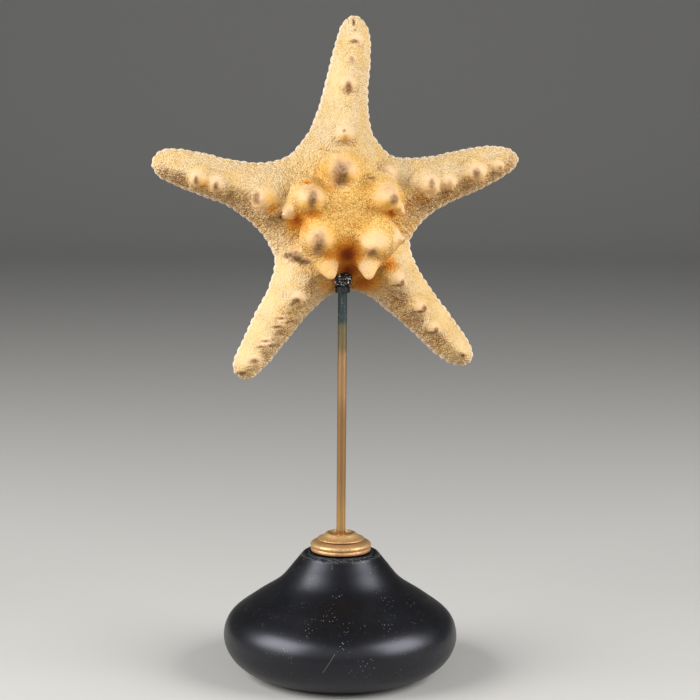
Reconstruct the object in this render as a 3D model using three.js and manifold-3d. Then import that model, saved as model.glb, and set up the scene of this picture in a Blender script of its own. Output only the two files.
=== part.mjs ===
// A knobbed sea star on a turned display stand.
//
// The stand is a black onion-shaped foot with two stacked brass rings on its neck and a slim brass
// rod. The rod's upper end is held in a small ferrule and a bead of black resin, and goes on into a
// hole drilled in the star between its two lower arms. The star is one piece: a domed disc with a
// ring of five large knobs, five arms with a ridge and smaller knobs, a blunt margin all round, and
// a flat underside at the back with five grooves that meet at the mouth.
//
// Millimetres, +Z up, the star faces -Y. The origin is the middle of the foot's flat underside.
import * as THREE from "three";
import { mergeVertices } from "three/addons/utils/BufferGeometryUtils.js";
import Module from "manifold-3d";

const wasm = await Module();
wasm.setup();

// ---------------------------------------------------------------- driving dimensions

const CLEARANCE = 0.3; // left between pieces that bear on each other

// The foot: radius and height of points on its outline, from the flat underside to the neck.
const FOOT_OUTLINE = [
  [33.5, 0],
  [42.5, 3.2],
  [48.8, 8.8],
  [51.7, 16.6],
  [49.4, 24.8],
  [39.4, 33.1],
  [27.2, 41.4],
  [21.0, 48.6],
  [17.2, 53.4],
];
const FOOT_RINGS = 11; // rings of faces between the underside and the neck
const NECK_TOP = 54.6;
// The neck's shoulder and the groove round the flat that the brass stands on, from the neck's top.
const NECK_OUTLINE = [
  [16.4, -0.2],
  [15.4, 0],
  [14.9, -0.7],
  [14.3, 0],
];
const ROD_RADIUS = 2.0;
const ROD_IN_FOOT = 24; // how deep the rod is let into the foot

const FLANGE_RADIUS = 13.4;
const FLANGE_HEIGHT = 4.8;
const CONE_RADIUS = 9.5;
const CONE_HEIGHT = 3.0;
const CONE_DISH = 6.2; // radius of the dish in its top

const FERRULE_RADIUS = 3.3;
const FERRULE_HEIGHT = 2.6;
const FERRULE_BOTTOM = 169.4;
const BEAD_OUTLINE = [
  [3.5, 0],
  [4.0, 1.2],
  [4.0, 3.8],
  [3.4, 5.0],
  [2.3, 5.8],
];
const ROD_IN_STAR = 15; // how far the rod goes on above the ferrule

// How the star is set: leaning back and turned a little to the right, its middle behind the rod.
const STAR_CENTRE = [1.2, 9.4, 202.3];
const STAR_LEAN = 8; // degrees back from upright
const STAR_TURN = 4; // degrees about the vertical

// The star's own frame: x right, y up, z out of the knobbed side; z = 0 is half way up the margin.
// Each arm lists the points of its edge on the way out, its tip, the points on the way back, and the
// line of its ridge from the disc outwards. Crotch k lies before arm k. Counter-clockwise.
const CROTCHES = [
  [20.6, 26.0],
  [-26.6, 25.2],
  [-31.6, -18.0],
  [0.8, -32.4],
  [28.0, -11.6],
];
const ARMS = [
  {
    name: "top",
    out: [[12.2, 34.5], [9.8, 48.0], [10.4, 62.0], [11.0, 75.0], [8.8, 83.6]],
    tip: [4.2, 87.0],
    back: [[-1.2, 84.0], [-4.4, 76.0], [-8.0, 62.0], [-11.6, 48.0], [-16.6, 36.0]],
    ridge: [[-0.8, 34.0], [0.6, 48.0], [2.2, 62.0], [3.8, 75.0], [4.2, 80.4]],
  },
  {
    name: "left",
    out: [[-37.8, 22.8], [-50.0, 24.2], [-63.6, 27.2], [-75.4, 28.8], [-81.6, 27.2]],
    tip: [-84.4, 22.4],
    back: [[-82.2, 17.2], [-75.4, 13.2], [-64.4, 8.8], [-52.4, 4.0], [-40.2, -4.6]],
    ridge: [[-38.0, 8.6], [-51.0, 12.0], [-64.0, 15.6], [-75.2, 19.2], [-79.4, 21.4]],
  },
  {
    name: "lower_left",
    out: [[-33.4, -30.0], [-39.4, -42.0], [-45.2, -54.0], [-49.4, -64.4], [-48.4, -69.2]],
    tip: [-44.0, -72.0],
    back: [[-39.2, -69.6], [-34.4, -64.8], [-26.2, -55.0], [-17.2, -44.0], [-9.0, -36.4]],
    ridge: [[-20.0, -33.4], [-27.0, -45.0], [-34.0, -56.0], [-40.6, -64.6], [-42.8, -67.8]],
  },
  {
    name: "lower_right",
    out: [[9.6, -35.4], [19.6, -43.0], [30.2, -52.2], [41.0, -62.2], [46.8, -65.4]],
    tip: [51.6, -65.8],
    back: [[55.2, -62.6], [54.8, -57.4], [48.0, -46.6], [39.8, -35.6], [32.2, -24.4]],
    ridge: [[22.4, -29.4], [31.4, -40.6], [40.2, -51.4], [48.2, -59.8], [50.4, -61.8]],
  },
  {
    name: "right",
    out: [[35.8, -0.6], [45.0, 5.2], [57.0, 10.4], [68.0, 16.2], [73.6, 20.2]],
    tip: [75.8, 25.0],
    back: [[73.0, 28.6], [66.0, 30.4], [56.0, 29.8], [45.0, 27.6], [33.6, 25.4]],
    ridge: [[34.6, 10.4], [45.0, 14.2], [56.4, 18.2], [67.4, 22.2], [70.6, 24.0]],
  },
];
const STATIONS = 6; // crotch, five points along the edge, tip: intervals on each side of an arm
const ROWS = [3, 3, 2, 2, 1, 2]; // rows of faces in each of those intervals

const MARGIN_HALF = 2.7; // half the height of the blunt margin
const MARGIN_INSET = 1.0; // how far its upper and lower edges stand in from its middle
const RIDGE_HEIGHTS = [16.5, 14.6, 12.6, 11.2, 9.0, 6.8]; // over the margin's middle, disc to tip
const ROOF_POWER = 1.7; // roundness of an arm's cross section
// The disc's dome between two arms; towards an arm it reaches further out by the stretch.
const DISC_OUTLINE = [
  [25.5, 0],
  [23.6, 6.0],
  [20.6, 13.0],
  [17.0, 18.6],
  [12.6, 22.4],
  [7.0, 24.0],
];
const DISC_TOP = 24.2;
const DISC_STRETCH = 1.22;
const BACK_DEPTH = 5.6; // of the flat underside, below the margin's middle
const GROOVE_DEPTH = 3.8;
const GROOVE_HALF = 2.4;

// Knobs: x, y of the foot, radius, height, and the lean of its axis to the right and upwards.
const DISC_KNOBS = [
  [-2.6, 18.0, 6.6, 10.5, -0.02, -0.14],
  [-16.8, 6.2, 6.0, 10.0, 0.04, -0.1],
  [14.6, 6.4, 6.1, 10.6, 0.38, -0.16],
  [-12.4, -11.4, 6.2, 10.2, -0.08, -0.16],
  [11.0, -12.2, 6.7, 11.4, -0.18, -0.34],
];
const FLANK_KNOBS = [
  [-9.6, -20.6, 5.4, 10.0, 0.4, -1.4],
  [8.2, -20.2, 5.2, 10.4, 0, -1.4],
  [-19.2, -18.4, 3.2, 8.6, -1.3, 0.2],
  [-23.4, 0.8, 3.6, 7.6, -1.1, -0.6],
  [18.0, -11.4, 4.3, 7.6, 1.1, -0.05],
  [20.2, 3.2, 3.2, 7.6, 0.5, -0.7],
  [17.2, 17.6, 3.8, 4.4, 0.3, 0.1],
];
const ARM_KNOBS = [
  [-1.4, 34.2, 4.4, 4.8, 0, -0.15],
  [0.6, 55.8, 3.7, 3.4, 0, -0.1],
  [2.3, 66.8, 2.2, 1.7, 0, 0],
  [4.0, 74.8, 3.0, 2.4, 0, 0],
  [-35.6, 5.4, 4.8, 5.6, -0.5, 0.1],
  [-56.0, 12.4, 3.4, 3.4, -0.2, 0],
  [-63.8, 15.0, 3.8, 3.8, -0.2, 0],
  [34.6, 12.2, 4.7, 5.0, 0.4, -0.1],
  [43.6, 13.8, 3.2, 3.0, 0.2, 0],
  [55.0, 18.0, 4.2, 4.2, 0.2, -0.05],
  [63.7, 20.6, 2.8, 2.2, 0, 0],
  [20.4, -27.8, 4.3, 5.6, 0.55, -0.5],
  [30.6, -40.4, 3.9, 4.6, 0.5, -0.4],
  [37.6, -49.4, 3.4, 3.8, 0.4, -0.4],
  [-21.2, -36.0, 3.4, 3.4, -0.2, -0.2],
  [-28.0, -47.0, 2.8, 2.4, 0, 0],
  [-34.2, -55.8, 2.8, 2.2, 0, 0],
  [-39.8, -63.2, 3.0, 2.4, 0, 0],
];
// A knob's outline, as shares of its radius and height, from its sunk skirt to its tip.
const KNOB_OUTLINE = [
  [1.24, -0.2],
  [1.0, 0.12],
  [0.7, 0.56],
  [0.34, 0.9],
];

// ---------------------------------------------------------------- helpers

/** A closed geometry as a solid that can be joined and cut. */
function solidOf(geometry) {
  const bare = geometry.clone();
  bare.deleteAttribute("normal");
  bare.deleteAttribute("uv");
  const merged = mergeVertices(bare, 1e-3);
  const triVerts = new Uint32Array(merged.index.array);
  const vertProperties = merged.attributes.position.array;
  return new wasm.Manifold(new wasm.Mesh({ numProp: 3, vertProperties, triVerts }));
}

/** A solid back as a geometry, with a normal of its own for each face. */
function geometryOf(solid) {
  const { vertProperties, triVerts, numProp } = solid.getMesh();
  const places = new Float32Array((vertProperties.length / numProp) * 3);
  for (let i = 0; i < places.length / 3; i++)
    places.set(vertProperties.subarray(i * numProp, i * numProp + 3), i * 3);
  const indexed = new THREE.BufferGeometry()
    .setAttribute("position", new THREE.BufferAttribute(places, 3))
    .setIndex(new THREE.BufferAttribute(triVerts, 1));
  const faceted = indexed.toNonIndexed();
  faceted.computeVertexNormals();
  return faceted;
}

/** A turned piece: a profile of [radius, height] points spun about +Z. */
function turned(profile, sides) {
  const points = profile.map(([r, z]) => new THREE.Vector2(r, z));
  return new THREE.LatheGeometry(points, sides).rotateX(Math.PI / 2);
}

/** A plain upright cylinder between two heights. */
function cylinder(radius, low, high, sides) {
  return turned([[0, low], [radius, low], [radius, high], [0, high]], sides);
}

const flat = ([x, y]) => new THREE.Vector3(x, y, 0);
const smooth = THREE.MathUtils.smoothstep;

// ---------------------------------------------------------------- the stand

/** The foot: an onion-shaped turning with a drilled neck. */
function makeFoot() {
  const side = new THREE.SplineCurve(FOOT_OUTLINE.map(([r, z]) => new THREE.Vector2(r, z)));
  const profile = [[0, 0], ...side.getPoints(FOOT_RINGS).map((p) => [p.x, Math.max(p.y, 0)])];
  profile.push(...NECK_OUTLINE.map(([r, z]) => [r, NECK_TOP + z]), [0, NECK_TOP]);
  const holeBottom = NECK_TOP - ROD_IN_FOOT - CLEARANCE;
  const hole = cylinder(ROD_RADIUS + CLEARANCE, holeBottom, NECK_TOP + 1, 16);
  return geometryOf(solidOf(turned(profile, 36)).subtract(solidOf(hole)));
}

/** The lower brass ring: a half-round roll over a lower band, with a fine step between them. */
function makeFlange() {
  const bore = ROD_RADIUS + CLEARANCE;
  const r = FLANGE_RADIUS;
  const h = FLANGE_HEIGHT;
  return turned(
    [
      [bore, 0],
      [r - 0.7, 0],
      [r - 0.2, 0.4],
      [r - 0.2, 1.5],
      [r - 0.6, 1.8],
      [r - 0.1, 2.2],
      [r, 2.8],
      [r - 0.6, 3.8],
      [r - 2.2, 4.5],
      [CONE_RADIUS, h],
      [bore, h],
      [bore, 0],
    ],
    28,
  );
}

/** The upper brass ring: a cone with a shallow dish in its top. */
function makeCone() {
  const bore = ROD_RADIUS + CLEARANCE;
  const h = CONE_HEIGHT;
  return turned(
    [
      [bore, 0],
      [CONE_RADIUS - 0.6, 0],
      [CONE_RADIUS, 0.5],
      [CONE_DISH + 1.5, 1.7],
      [CONE_DISH + 0.4, h - 0.1],
      [CONE_DISH - 0.3, h],
      [CONE_DISH - 1.2, h - 0.9],
      [bore, h - 1.2],
      [bore, 0],
    ],
    28,
  );
}

/** The short ferrule near the rod's upper end, under the resin. */
function makeFerrule() {
  const bore = ROD_RADIUS + CLEARANCE;
  const h = FERRULE_HEIGHT;
  return turned(
    [
      [bore, 0],
      [FERRULE_RADIUS - 0.3, 0],
      [FERRULE_RADIUS, 0.3],
      [FERRULE_RADIUS, h],
      [bore, h],
      [bore, 0],
    ],
    16,
  );
}

/** The bead of resin above the ferrule. */
function makeBead() {
  const bore = ROD_RADIUS + CLEARANCE;
  return turned([[bore, 0], ...BEAD_OUTLINE, [bore, 0]], 16);
}

// ---------------------------------------------------------------- the star

const CENTRE = new THREE.Vector3(0, 0, 0);
const outline = new THREE.CatmullRomCurve3(
  ARMS.flatMap((arm, k) => [CROTCHES[k], ...arm.out, arm.tip, ...arm.back]).map(flat),
  true,
  "centripetal",
);
const ridges = ARMS.map(
  (arm) => new THREE.CatmullRomCurve3([CENTRE, ...arm.ridge.map(flat)], false, "centripetal"),
);
const ARM_POINTS = 2 * STATIONS; // edge points from one crotch to the next

/** Height of an arm's ridge at a station from 0, the disc's middle, to the end of the ridge. */
function ridgeHeight(station) {
  const at = Math.min(station, RIDGE_HEIGHTS.length - 1);
  const i = Math.min(Math.floor(at), RIDGE_HEIGHTS.length - 2);
  return THREE.MathUtils.lerp(RIDGE_HEIGHTS[i], RIDGE_HEIGHTS[i + 1], at - i);
}

/** Knobbed side: height at a share v of the way in from the margin's edge to the ridge. */
function frontHeight(v, station) {
  const roof = 1 - (1 - v) ** ROOF_POWER;
  return MARGIN_HALF + (ridgeHeight(station) - MARGIN_HALF) * roof;
}

/** Back: depth at a share v of the way in, where "near" is the distance to the groove's line. */
function backHeight(v, near) {
  const plain = -THREE.MathUtils.lerp(MARGIN_HALF, BACK_DEPTH, smooth(v, 0, 0.45));
  return plain + GROOVE_DEPTH * Math.exp(-((near / GROOVE_HALF) ** 2));
}

const FRONT_SHARES = [1, 0.8, 0.6, 0.4, 0.2, 0]; // ridge to margin
const BACK_SHARES = [0, 0.45]; // margin inwards, before the rings along the groove
const BACK_RINGS = [4.4, 2.0, 0]; // distance of the rings from the line of the groove
const NARROW = 15; // where the way in is shorter than this, the rings draw together

/** One row of points: out over the knobbed side, round the margin, in along the back. */
function starRow(edge, spine, station) {
  const across = spine.clone().sub(edge);
  const reach = across.length();
  const inset = edge.clone().addScaledVector(across, MARGIN_INSET / reach);
  const inwards = spine.clone().sub(inset);
  const at = (v, z) => inset.clone().addScaledVector(inwards, v).setZ(z);
  const row = FRONT_SHARES.map((v) => at(v, frontHeight(v, station)));
  row.push(edge.clone());
  const span = inwards.length();
  const rings = BACK_RINGS.map((distance) => 1 - distance / Math.max(span, NARROW));
  for (const v of [...BACK_SHARES, ...rings]) row.push(at(v, backHeight(v, (1 - v) * span)));
  return row;
}

/** All rows once round the star, from the crotch before the first arm. */
function starRows() {
  const steps = ROWS.flatMap((n, i) => Array.from({ length: n }, (_, j) => i + j / n));
  const rows = [];
  ARMS.forEach((_, k) => {
    const add = (station, alongEdge) => {
      const edge = outline.getPoint(((k * ARM_POINTS + alongEdge) / ARM_POINTS / ARMS.length) % 1);
      const spine = ridges[k].getPoint(Math.min(station, STATIONS - 1) / (STATIONS - 1));
      rows.push(starRow(edge, spine, station));
    };
    steps.forEach((s) => add(s, s));
    add(STATIONS, STATIONS);
    steps.slice(1).reverse().forEach((s) => add(s, ARM_POINTS - s));
  });
  return rows;
}

/** The star without its knobs, as one closed geometry. */
function starBody() {
  const rows = starRows();
  const triangles = [];
  const face = (a, b, c) => {
    const shortest = Math.min(a.distanceTo(b), b.distanceTo(c), c.distanceTo(a));
    if (shortest > 1e-3) triangles.push(...a, ...b, ...c);
  };
  rows.forEach((row, i) => {
    const next = rows[(i + 1) % rows.length];
    for (let j = 0; j + 1 < row.length; j++) {
      face(row[j], row[j + 1], next[j + 1]);
      face(row[j], next[j + 1], next[j]);
    }
  });
  const places = new THREE.Float32BufferAttribute(triangles, 3);
  return new THREE.BufferGeometry().setAttribute("position", places);
}

/** The disc's dome: a turning stretched out towards the five arms. */
function discDome() {
  const dome = turned([[0, 0], ...DISC_OUTLINE, [0, DISC_TOP]], 40);
  const places = dome.attributes.position;
  for (let i = 0; i < places.count; i++) {
    const angle = Math.atan2(places.getY(i), places.getX(i));
    const towardsArm = Math.max(
      ...ARMS.map(({ ridge: [[x, y]] }) => Math.cos(angle - Math.atan2(y, x))),
    );
    const share = smooth(towardsArm, Math.cos(Math.PI / 5), 1);
    const stretch = THREE.MathUtils.lerp(1, DISC_STRETCH, share);
    places.setXY(i, places.getX(i) * stretch, places.getY(i) * stretch);
  }
  return dome;
}

/** One knob, its skirt sunk into the star's surface below a place. */
function knobOn(surface, [x, y, radius, height, right, up]) {
  const down = new THREE.Raycaster(new THREE.Vector3(x, y, 60), new THREE.Vector3(0, 0, -1));
  const seat = down.intersectObject(surface)[0].point;
  const profile = KNOB_OUTLINE.map(([r, z]) => [r * radius, z * height]);
  profile.unshift([0, profile[0][1]]);
  profile.push([0, height]);
  const axis = new THREE.Vector3(right, up, 1).normalize();
  const turn = new THREE.Quaternion().setFromUnitVectors(new THREE.Vector3(0, 0, 1), axis);
  const sides = radius > 5 ? 12 : 7;
  return turned(profile, sides).applyQuaternion(turn).translate(seat.x, seat.y, seat.z);
}

/** The whole star with its knobs grown on. */
function starSolid() {
  const body = solidOf(starBody()).add(solidOf(discDome()));
  const bothSides = new THREE.MeshBasicMaterial({ side: THREE.DoubleSide });
  const surface = new THREE.Mesh(geometryOf(body), bothSides);
  const knobs = [...DISC_KNOBS, ...FLANK_KNOBS, ...ARM_KNOBS].map((k) => knobOn(surface, k));
  return knobs.reduce((whole, knob) => whole.add(solidOf(knob)), body);
}

// ---------------------------------------------------------------- the object

const black = new THREE.MeshStandardMaterial({ color: 0x14151a, roughness: 0.35 });
const brass = new THREE.MeshStandardMaterial({ color: 0xb58a4a, roughness: 0.42, metalness: 0.9 });
const darkMetal = new THREE.MeshStandardMaterial({ color: 0x2c2e2a, roughness: 0.5, metalness: 0.6 });
const resin = new THREE.MeshStandardMaterial({ color: 0x16150f, roughness: 0.15 });
const skeleton = new THREE.MeshStandardMaterial({ color: 0xe3bf85, roughness: 0.8 });

const object = new THREE.Group();

/** Adds a named piece at a height on the rod's axis. */
function place(name, geometry, material, height = 0) {
  const mesh = new THREE.Mesh(geometry, material);
  mesh.name = name;
  mesh.position.z = height;
  object.add(mesh);
  return mesh;
}

const flangeBottom = NECK_TOP + CLEARANCE;
const coneBottom = flangeBottom + FLANGE_HEIGHT + CLEARANCE;
const rodBottom = NECK_TOP - ROD_IN_FOOT;
const rodTop = FERRULE_BOTTOM + FERRULE_HEIGHT + ROD_IN_STAR;
const beadBottom = FERRULE_BOTTOM + FERRULE_HEIGHT + CLEARANCE;

place("foot", makeFoot(), black);
place("brass_flange", makeFlange(), brass, flangeBottom);
place("brass_cone", makeCone(), brass, coneBottom);
place("rod", cylinder(ROD_RADIUS, rodBottom, rodTop, 20), brass);
place("rod_ferrule", makeFerrule(), darkMetal, FERRULE_BOTTOM);
place("resin_bead", makeBead(), resin, beadBottom);

const setting = new THREE.Group();
setting.position.set(...STAR_CENTRE);
setting.rotation.z = THREE.MathUtils.degToRad(STAR_TURN);
object.add(setting);
const star = new THREE.Mesh(undefined, skeleton);
star.name = "starfish";
star.rotation.x = THREE.MathUtils.degToRad(90 - STAR_LEAN);
setting.add(star);
object.updateMatrixWorld(true);

// The drill: the ferrule's and bead's own form grown by the clearance, then the rod's.
const drillBottom = FERRULE_BOTTOM - 6;
const drill = turned(
  [
    [0, drillBottom],
    [FERRULE_RADIUS + CLEARANCE, drillBottom],
    ...BEAD_OUTLINE.map(([r, z]) => [r + CLEARANCE, beadBottom + z + CLEARANCE]),
    [ROD_RADIUS + CLEARANCE, rodTop + CLEARANCE],
    [0, rodTop + CLEARANCE],
  ],
  20,
);
const toStar = star.matrixWorld.clone().invert();
star.geometry = geometryOf(starSolid().subtract(solidOf(drill.applyMatrix4(toStar))));

export default object;
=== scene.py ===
# %% [markdown]
# # A knobbed starfish on its stand
# A dried starfish stands face-on on a thin brass rod. Under it are two stacked brass rings and a
# black turned wooden foot. The exact solids come packed as a frame, in metres, with +Z up and the
# starfish looking towards -Y. Around that frame this lesson makes the pieces that are seen.

# %% Load the frame and keep its box
import math
from contextlib import contextmanager

import bmesh
import bpy
import numpy as np
from mathutils import Matrix, Vector
from mathutils.kdtree import KDTree


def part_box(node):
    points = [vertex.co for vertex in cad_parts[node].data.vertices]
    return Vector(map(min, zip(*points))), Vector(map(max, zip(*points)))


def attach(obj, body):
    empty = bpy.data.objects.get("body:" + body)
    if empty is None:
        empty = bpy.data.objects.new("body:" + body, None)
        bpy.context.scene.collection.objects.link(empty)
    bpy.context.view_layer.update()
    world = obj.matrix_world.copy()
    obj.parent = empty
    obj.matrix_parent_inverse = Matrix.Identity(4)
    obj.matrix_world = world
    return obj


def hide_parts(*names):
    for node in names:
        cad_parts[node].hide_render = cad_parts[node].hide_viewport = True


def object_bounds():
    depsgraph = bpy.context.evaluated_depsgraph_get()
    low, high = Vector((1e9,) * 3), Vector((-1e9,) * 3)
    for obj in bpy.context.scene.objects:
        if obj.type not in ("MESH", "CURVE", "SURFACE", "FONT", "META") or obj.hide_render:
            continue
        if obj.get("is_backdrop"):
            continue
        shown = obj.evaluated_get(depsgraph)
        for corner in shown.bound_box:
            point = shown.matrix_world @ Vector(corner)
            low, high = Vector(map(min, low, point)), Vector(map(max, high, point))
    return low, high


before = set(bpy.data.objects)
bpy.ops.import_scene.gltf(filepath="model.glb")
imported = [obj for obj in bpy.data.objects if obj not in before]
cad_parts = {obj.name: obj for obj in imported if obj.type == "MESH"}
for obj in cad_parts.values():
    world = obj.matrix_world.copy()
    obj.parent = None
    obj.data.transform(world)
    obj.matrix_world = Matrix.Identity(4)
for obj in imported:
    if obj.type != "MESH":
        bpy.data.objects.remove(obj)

CAD_BOX = [list(corner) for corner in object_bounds()]
MM = 0.001
print("frame box, mm:", [[round(v / MM, 1) for v in corner] for corner in CAD_BOX])

# %% [markdown]
# ## The set
# The light comes from two large soft boxes, one on each side and a little above the starfish. They
# rake across its grain, and they give the black foot a soft streak on each shoulder. A third, wide
# and weak, fills the shadows from in front. Area lights were chosen because a lamp that is a point
# would draw hard shadows. The floor curves up into a plain backdrop, so there is no hard horizon,
# and the camera looks down a little through a long lens.

# %% Helpers for selecting as by hand
def deselect():
    """Nothing is selected, and no object is in edit mode."""
    if bpy.context.mode != "OBJECT":
        bpy.ops.object.mode_set(mode="OBJECT")
    bpy.ops.object.select_all(action="DESELECT")


def activate(piece):
    """Only this piece is selected, and it is the active one."""
    deselect()
    piece.select_set(True)
    bpy.context.view_layer.objects.active = piece


@contextmanager
def editing(piece):
    """Edit mode on one piece, with nothing of its mesh selected at the start."""
    activate(piece)
    bpy.ops.object.mode_set(mode="EDIT")
    bpy.ops.mesh.select_all(action="DESELECT")
    yield
    bpy.ops.object.mode_set(mode="OBJECT")


def pick(piece, kind, test):
    """In edit mode, selects only the "faces", "edges" or "verts" whose middle passes a test."""
    mesh = bmesh.from_edit_mesh(piece.data)
    bpy.ops.mesh.select_all(action="DESELECT")
    bpy.ops.mesh.select_mode(type={"faces": "FACE", "edges": "EDGE", "verts": "VERT"}[kind])
    for part in getattr(mesh, kind):
        if kind == "faces":
            middle = part.calc_center_median()
        elif kind == "edges":
            middle = (part.verts[0].co + part.verts[1].co) / 2
        else:
            middle = part.co
        part.select_set(test(middle))
    mesh.select_flush_mode()
    bmesh.update_edit_mesh(piece.data)


print("helpers for selecting are ready")

# %% Helpers for modifiers and clean meshes
def apply_modifier(piece, kind, **settings):
    """Adds a modifier with these settings and applies it at once."""
    activate(piece)
    modifier = piece.modifiers.new(kind.lower(), kind)
    for name, value in settings.items():
        setattr(modifier, name, value)
    bpy.ops.object.modifier_apply(modifier=modifier.name)


def close_up(piece, gap=0.002 * MM):
    """Merges doubled points and turns all faces outwards."""
    with editing(piece):
        bpy.ops.mesh.select_all(action="SELECT")
        bpy.ops.mesh.remove_doubles(threshold=gap)
        bpy.ops.mesh.normals_make_consistent(inside=False)


def place_in_mesh(piece):
    """Puts the object's own place, turn and size into its mesh."""
    activate(piece)
    bpy.ops.object.transform_apply(location=True, rotation=True, scale=True)


print("helpers for clean meshes are ready")

# %% Floor and backdrop in one sweep
FLOOR_SIZE = 6
WALL_HEIGHT = 3
SWEEP_RADIUS = 1.2
NEAR = 0.01
deselect()
bpy.ops.mesh.primitive_plane_add(size=FLOOR_SIZE, location=(0, 0, 0))
sweep = bpy.context.object
sweep.name = "floor"
with editing(sweep):
    pick(sweep, "edges", lambda p: p.y > FLOOR_SIZE / 2 - NEAR)
    bpy.ops.mesh.extrude_region_move(TRANSFORM_OT_translate={"value": (0, 0, WALL_HEIGHT)})
    pick(sweep, "edges", lambda p: p.y > FLOOR_SIZE / 2 - NEAR and abs(p.z) + abs(p.x) < NEAR)
    bpy.ops.mesh.bevel(offset=SWEEP_RADIUS, segments=24, profile=0.5)
    bpy.ops.mesh.select_all(action="SELECT")
    bpy.ops.mesh.faces_shade_smooth()
sweep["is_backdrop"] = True
print("floor:", len(sweep.data.polygons), "faces")

# %% Soft boxes and the room's own light
AIM = Vector((0, 0, 0.17))


def soft_box(name, place, size, power):
    """An oblong area light at a place, aimed at the starfish."""
    deselect()
    bpy.ops.object.light_add(type="AREA", location=place)
    box = bpy.context.object
    box.name = name
    box.data.shape = "RECTANGLE"
    box.data.size, box.data.size_y = size
    box.data.energy = power
    box.rotation_euler = (AIM - place).to_track_quat("-Z", "Y").to_euler()


def from_aim(round_degrees, up_degrees, distance):
    """A place this far from the aim, turned round from the front and raised."""
    turn_by, rise = math.radians(round_degrees), math.radians(up_degrees)
    way = Vector((math.sin(turn_by) * math.cos(rise), -math.cos(turn_by) * math.cos(rise),
                  math.sin(rise)))
    return AIM + way * distance


soft_box("soft_box_left", from_aim(-67, 27, 1.0), (0.86, 0.68), 18.0)
soft_box("soft_box_right", from_aim(68, 26, 1.0), (0.78, 0.68), 15.0)
soft_box("wide_fill", from_aim(0, 24, 1.7), (2.0, 1.2), 6.0)

room = bpy.data.worlds.new("room")
bpy.context.scene.world = room
room.use_nodes = True
room_light = room.node_tree.nodes["Background"].inputs
room_light["Color"].default_value = (0.9, 0.95, 1.0, 1)
room_light["Strength"].default_value = 0.12
bpy.context.scene.view_settings.view_transform = "Standard"

# %% Camera
CAMERA_PLACE = Vector((0.0034, -0.90, 0.2766))
CAMERA_DOWN = math.radians(8.365)
CAMERA_ROLL = math.radians(0.45)
LENS = 107.4
SENSOR = 36
deselect()
bpy.ops.object.camera_add()
camera = bpy.context.object
camera.name = "camera"
camera.data.sensor_width = SENSOR
camera.data.lens = LENS
camera.matrix_world = (
    Matrix.Translation(CAMERA_PLACE)
    @ Matrix.Rotation(math.pi / 2 - CAMERA_DOWN, 4, "X")
    @ Matrix.Rotation(CAMERA_ROLL, 4, "Z")
)
bpy.context.scene.camera = camera
print("camera:", round(math.degrees(camera.data.angle), 1), "degrees wide")

# %% [markdown]
# ## Shader maths in plain Python
# A finish is a sum of masks and colours. Wiring each Math node by hand hides the sum, so a small
# class wraps a socket and lets it be added and multiplied like a number.

# %% A socket that can be used in sums
class Value:
    """The output of a node. Sums and products with it add their Math nodes."""

    def __init__(self, paint, socket):
        self.paint = paint
        self.socket = socket

    def math(self, operation, *others):
        """This value and others through one Math node."""
        inputs = dict(enumerate([self, *others]))
        return self.paint.add("ShaderNodeMath", {"operation": operation}, inputs)

    def __add__(self, other):
        return self.math("ADD", other)

    def __mul__(self, other):
        return self.math("MULTIPLY", other)

    def __sub__(self, other):
        return self.math("SUBTRACT", other)

    def __rsub__(self, other):
        return self.math("MULTIPLY_ADD", -1, other)

    __radd__ = __add__
    __rmul__ = __mul__

    def step(self, low, high):
        """0 below low, 1 above high, and smooth between; low may be the larger one."""
        settings = {"interpolation_type": "SMOOTHSTEP"}
        names = {"Value": self, "From Min": low, "From Max": high}
        return self.paint.add("ShaderNodeMapRange", settings, names)

print("sums of sockets are ready")

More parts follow.
